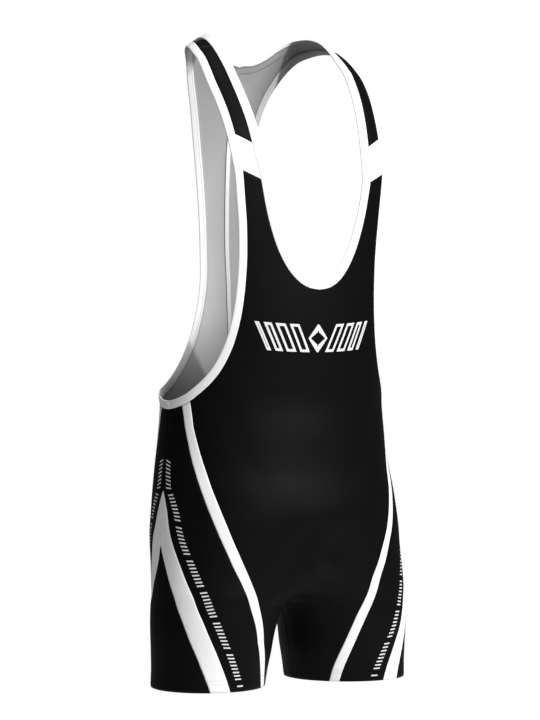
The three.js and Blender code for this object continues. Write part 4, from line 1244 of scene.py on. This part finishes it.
@dataclass
class SideMarks:
    """Groups of thin slanted bars printed beside one pointed stripe, down to the hem."""

    side: Side
    where: str
    offset: float = 15.0
    start: float = 7.0
    height: float = 7.6
    bar: float = 1.7
    pitch: float = 4.4
    slant: float = 3.0
    group: int = 9

    @property
    def sign(self) -> int:
        """The way round from the pointed stripe to the bars."""
        return -1 if self.where == "front" else 1

    def track(self) -> np.ndarray:
        """The line that the bars follow, as distance round and height."""
        rows = []
        for z in np.arange(Z_MARKS, Z_HEM + 1, -1.0):
            away = self.start + (self.offset - self.start) * float(ease((Z_MARKS - z) / 80))
            rows.append((FORM.line(f"{self.where} chevronOut", z) + self.sign * away, z))
        return np.array(rows)

    def build(self) -> bpy.types.Object:
        """Makes the bars as thin printed patches on the cloth."""
        bm = bmesh.new()
        uv = bm.loops.layers.uv.new("Cloth")
        line = self.track()
        total = float(np.linalg.norm(np.diff(line, axis=0), axis=1).sum())
        spots = along(line, np.arange(0, total, self.pitch) / total)
        flip = np.array([self.side.value, 1, 1])
        for k in range(1, len(spots) - 1):
            if k % self.group == 0:
                continue
            run = spots[k + 1] - spots[k - 1]
            run /= np.linalg.norm(run)
            over = np.array([-run[1], run[0]]) * self.sign
            for vert in bmesh.ops.create_grid(bm, x_segments=1, y_segments=3, size=0.5)["verts"]:
                a, b = vert.co.x, vert.co.y
                at = spots[k] + run * (a * self.bar + b * self.slant) + over * b * self.height
                p, _, out = surface_frame(float(max(at[1], Z_HEM + 0.3)), float(at[0]))
                vert.co = Vector((p + out * 0.09) * flip) * MM
        bm.normal_update()
        for face in bm.faces:
            spot = face.calc_center_median()
            middle = Vector((0.08 * self.side.value, -0.01, spot.z))
            if face.normal.dot(spot - middle) < 0:
                face.normal_flip()
            for loop in face.loops:
                loop[uv].uv = (loop.vert.co.x, loop.vert.co.z)
        return printed(f"side_marks_{self.where}_{self.side.tag}", bm, "print")


def printed(name: str, bm: bmesh.types.BMesh, colour: str) -> bpy.types.Object:
    """A print as a thin skin that rides on the cloth."""
    piece = place(name, bm, (colour,))
    skin = piece.modifiers.new("film", "SOLIDIFY")
    skin.thickness = 0.12 * MM
    skin.offset = -1
    LOG.info("%s: %d faces", name, len(piece.data.polygons))
    return piece


@dataclass(frozen=True)
class ChestShape:
    """One outlined shape of the chest motif: middle, widths at its middle and ends, and lean."""

    x: float
    waist: float
    ends: float
    lean: float


@dataclass
class ChestMotif:
    """A lozenge between slanted bars that lean away from it, printed across the chest."""

    z: float = -350.0
    tall: float = 32.0
    line: float = 4.0
    arch: float = 0.0007
    slanting: float = 1.3
    oval: tuple[float, float] = (146.0, 100.5)
    shapes: tuple[ChestShape, ...] = (
        ChestShape(0, 26, 2.0, 0), ChestShape(24, 12, 12, 15), ChestShape(41, 12, 12, 15),
        ChestShape(56, 9, 9, 15), ChestShape(68, 5, 5, 15),
    )

    def point(self, x: float, z: float, lift: float) -> Vector:
        """A place on the chest, lifted off the cloth."""
        y = float(FORM.chest_y(np.array([abs(x)]), np.array([z]))[0])
        push = sum(t.push(np.array([x, y, z])) for t in TROUGHS)
        normal = np.array([x / self.oval[0]**2, y / self.oval[1]**2, 0.0])
        normal /= np.linalg.norm(normal)
        return Vector(np.array([x, y, z]) + normal * (lift - push)) * MM

    def layer(self, name: str, inset: float, lift: float, colour: str) -> bpy.types.Object:
        """One layer of the motif.

        Args:
            name: the piece's name.
            inset: how far each shape is narrower all round.
            lift: height over the cloth.
            colour: the print's finish.

        Returns:
            The layer.
        """
        bm = bmesh.new()
        uv = bm.loops.layers.uv.new("Cloth")
        for shape in self.shapes:
            for turn in ((1,) if shape.x == 0 else (1, -1)):
                tall = self.tall - 2 * inset - (2.2 * inset if shape.ends < shape.waist else 0)
                grid = bmesh.ops.create_grid(bm, x_segments=4, y_segments=8, size=0.5)
                for vert in grid["verts"]:
                    a, b = vert.co.x, vert.co.y
                    share = 1 - 2 * abs(b)
                    wide = max(0.4, shape.ends + (shape.waist - shape.ends) * share - 2 * inset)
                    x = turn * (shape.x + shape.lean * b * tall / self.tall) + a * wide
                    vert.co = self.point(x, self.z + self.arch * x * x + b * tall, lift)
        bm.normal_update()
        for face in bm.faces:
            if face.normal.y > 0:
                face.normal_flip()
            for loop in face.loops:
                loop[uv].uv = (loop.vert.co.x, loop.vert.co.z)
        return printed(name, bm, colour)

    def build(self) -> None:
        """Makes the white outlines and the dark middles."""
        self.layer("chest_motif_outline", 0.0, 0.12, "print")
        self.layer("chest_motif_middle", self.line / self.slanting, 0.24, "print_dark")


@dataclass
class Tape:
    """The tape along the inside of the middle back seam."""

    width: float = 5.4
    thick: float = 0.9
    under: float = 0.35

    def build(self, back: np.ndarray) -> bpy.types.Object:
        """Makes the tape from the back's middle points, moved inside."""
        rows = []
        half = self.width / 2
        across = (-half, -half * 0.8, -half * 0.3, 0.0, half * 0.3, half * 0.8, half)
        for row in back[NAPE_ROW + 1:]:
            if row[0][2] < Z_TAPE_END:
                break
            step = row[4] - row[0]
            deep, down = step[1] / max(1e-6, step[0]), step[2] / step[0]
            rows.append([[x, row[0][1] + deep * abs(x) - WALL - self.under,
                          row[0][2] + down * abs(x)] for x in across])
        bm = bm_grid(outward(Patch(np.array(rows))))
        return ClothPiece("back_seam_tape", bm, "black", "binding", "white_binding", self.thick,
                          0.0).build()


@dataclass
class Studio:
    """Camera, floor and soft lights."""

    turn: float = -32.0
    far: float = 3.4
    height: float = -0.323
    aim: tuple[float, float] = (-0.0024, -0.3764)
    lens: float = 143.14
    ambient: float = 0.12
    middle: float = -0.38
    floor_level: float = -1.05
    floor_reach: float = 1.6

    def aimed(self, name: str, data: bpy.types.ID, eye: Vector, aim: Vector) -> bpy.types.Object:
        """Sets a camera or a lamp in the scene.

        Args:
            name: its name.
            data: the camera's or the lamp's data.
            eye: where it stands.
            aim: the point that it looks at.

        Returns:
            The camera or the lamp.
        """
        thing = bpy.data.objects.new(name, data)
        thing.location = eye
        thing.rotation_euler = (aim - eye).to_track_quat("-Z", "Y").to_euler()
        bpy.context.scene.collection.objects.link(thing)
        return thing

    def camera(self) -> None:
        """Sets the camera at the photograph's angle."""
        a = math.radians(self.turn)
        eye = Vector((math.sin(a) * self.far, -math.cos(a) * self.far, self.height))
        aim = Vector((self.aim[0] * math.cos(a), self.aim[0] * math.sin(a), self.aim[1]))
        data = bpy.data.cameras.new("camera")
        data.lens = self.lens
        data.sensor_width = 36
        data.clip_end = 60
        bpy.context.scene.camera = self.aimed("camera", data, eye, aim)

    def light(self, name: str, turn: float, rise: float, far: float, size: float,
              watts: float) -> None:
        """One soft area light aimed at the garment's middle.

        Args:
            name: the light's name.
            turn: degrees round from the front, to the wearer's left when positive.
            rise: degrees above level.
            far: distance in metres.
            size: side of the square in metres.
            watts: power.
        """
        data = bpy.data.lights.new(name, "AREA")
        data.energy = watts
        data.size = size
        a, e = math.radians(turn), math.radians(rise)
        middle = Vector((0, 0, self.middle))
        way = Vector((math.sin(a) * math.cos(e), -math.cos(a) * math.cos(e), math.sin(e)))
        self.aimed(name, data, middle + far * way, middle)

    def floor(self) -> None:
        """Lays a plain pale round floor under the garment."""
        bm = bmesh.new()
        bmesh.ops.create_circle(bm, cap_ends=True, segments=96, radius=self.floor_reach)
        mesh = bpy.data.meshes.new("floor")
        bm.to_mesh(mesh)
        bm.free()
        floor = bpy.data.objects.new("floor", mesh)
        floor.location = (0, 0, self.floor_level)
        bpy.context.scene.collection.objects.link(floor)
        web = Web("floor_pale")
        web.look({"Base Color": (0.93, 0.93, 0.93, 1), "Roughness": 0.95,
                  "Specular IOR Level": 0.0})
        mesh.materials.append(web.material)

    def sky(self) -> None:
        """A white surround that lights the garment less than it shows to the camera."""
        world = bpy.data.worlds.new("studio")
        bpy.context.scene.world = world
        world.use_nodes = True
        nodes, links = world.node_tree.nodes, world.node_tree.links
        back = nodes["Background"]
        back.inputs["Color"].default_value = (1, 1, 1, 1)
        ray = nodes.new("ShaderNodeLightPath")
        level = nodes.new("ShaderNodeMix")
        level.inputs["A"].default_value = self.ambient
        level.inputs["B"].default_value = 1.0
        links.new(ray.outputs["Is Camera Ray"], level.inputs["Factor"])
        links.new(level.outputs["Result"], back.inputs["Strength"])

    def build(self) -> None:
        """Sets the floor, the surround, the lights and the plain view of the colours."""
        self.floor()
        self.sky()
        bpy.context.scene.view_settings.view_transform = "Standard"
        self.light("key", 15, 27, 2.8, 1.2, 94)
        self.light("top", -20, 80, 2.4, 1.6, 26)
        self.light("back", 165, 30, 3.0, 1.6, 18)


@dataclass
class Edges:
    """The seams that the bindings follow, each with the line of cloth inside it."""

    trunk: Trunk
    back: np.ndarray
    least_step: float = 0.6

    def straps(self) -> list[np.ndarray]:
        """Grids of the white band, the front strap and the shoulder piece."""
        plan = ((STRAP, 0, 2, 12), (STRAP, 2, 6, 26), (BACK, 0, YOKE_RIB, 36))
        return [rib_patch(table, np.linspace(first, last, count), STRAP_COLUMNS).rows
                for table, first, last, count in plan]

    def neck(self) -> tuple[np.ndarray, np.ndarray]:
        """The neck seam all round, closed over the middle of the front and the back.

        Returns:
            Points along the seam, and along a line of the cloth inside it.
        """
        bib, back = self.trunk.bib(), self.back
        foot = int(np.searchsorted(front_shares(self.trunk.columns), NECK_SHARE))
        pairs = [(bib[0, :foot], bib[4, :foot]),
                 *((rows[:, 0], rows[:, 4]) for rows in self.straps()),
                 (back[:NAPE_ROW, 0], back[:NAPE_ROW, 5]),
                 (back[NAPE_ROW:NAPE_ROW + 1, 0], back[NAPE_ROW + 4:NAPE_ROW + 5, 0])]
        rings = []
        for half in (np.concatenate(line) for line in zip(*pairs)):
            half[0, 0] = half[-1, 0] = 0
            rings.append(np.concatenate([half, (half[1:-1] * FLIP)[::-1]]))
        return rings[0], rings[1]

    def arm(self) -> tuple[np.ndarray, np.ndarray]:
        """The left armhole seam all round, without the points that crowd together.

        Returns:
            Points along the seam, and along a line of the cloth inside it.
        """
        front = self.trunk.bib()[:self.trunk.bib_rows - DIP_ROWS]
        back = self.back[:len(self.back) - len(levels()) - 5]
        pairs = [(front[::-1, -1], front[::-1, -6]),
                 *((rows[:, -1], rows[:, -6]) for rows in (*self.straps(), back))]
        for _, start, end, columns, top, _ in SidePanels(Side.LEFT).plan[::-1]:
            if top is None:
                rows = lower_patch(start, end, columns).rows
                pairs.append((rows[0][::-1], rows[3][::-1]))
        seam, inner = (np.concatenate(line) for line in zip(*pairs))
        keep = [0]
        for i in range(1, len(seam)):
            if np.linalg.norm(seam[i] - seam[keep[-1]]) > self.least_step:
                keep.append(i)
        return seam[keep], inner[keep]

    def bindings(self) -> list[Binding]:
        """The neck strip and both armhole strips."""
        seam, inner = self.arm()
        return [Binding("neck_binding", *self.neck(), 12.0, 3.2, -1),
                Binding("armhole_binding_left", seam, inner, 9.6, 9.0, 1),
                Binding("armhole_binding_right", seam * FLIP, inner * FLIP, 9.6, 9.0, -1)]


def main() -> None:
    """Builds the studio and every piece of the garment in order."""
    logging.basicConfig(level=logging.INFO, format="%(message)s")
    studio = Studio()
    studio.camera()
    studio.build()
    trunk = Trunk()
    trunk.front()
    back = trunk.back_rows()
    for side in Side:
        half_panel("back", side, Patch(back), "black")
        SidePanels(side).build()
        Shoulder(side).build()
        Hem(side).build()
        for where in ("front", "back"):
            SideMarks(side, where).build()
    Tape().build(back)
    ChestMotif().build()
    for strip in Edges(trunk, back).bindings():
        strip.build()
        strip.sew()


if __name__ == "__main__":
    main()
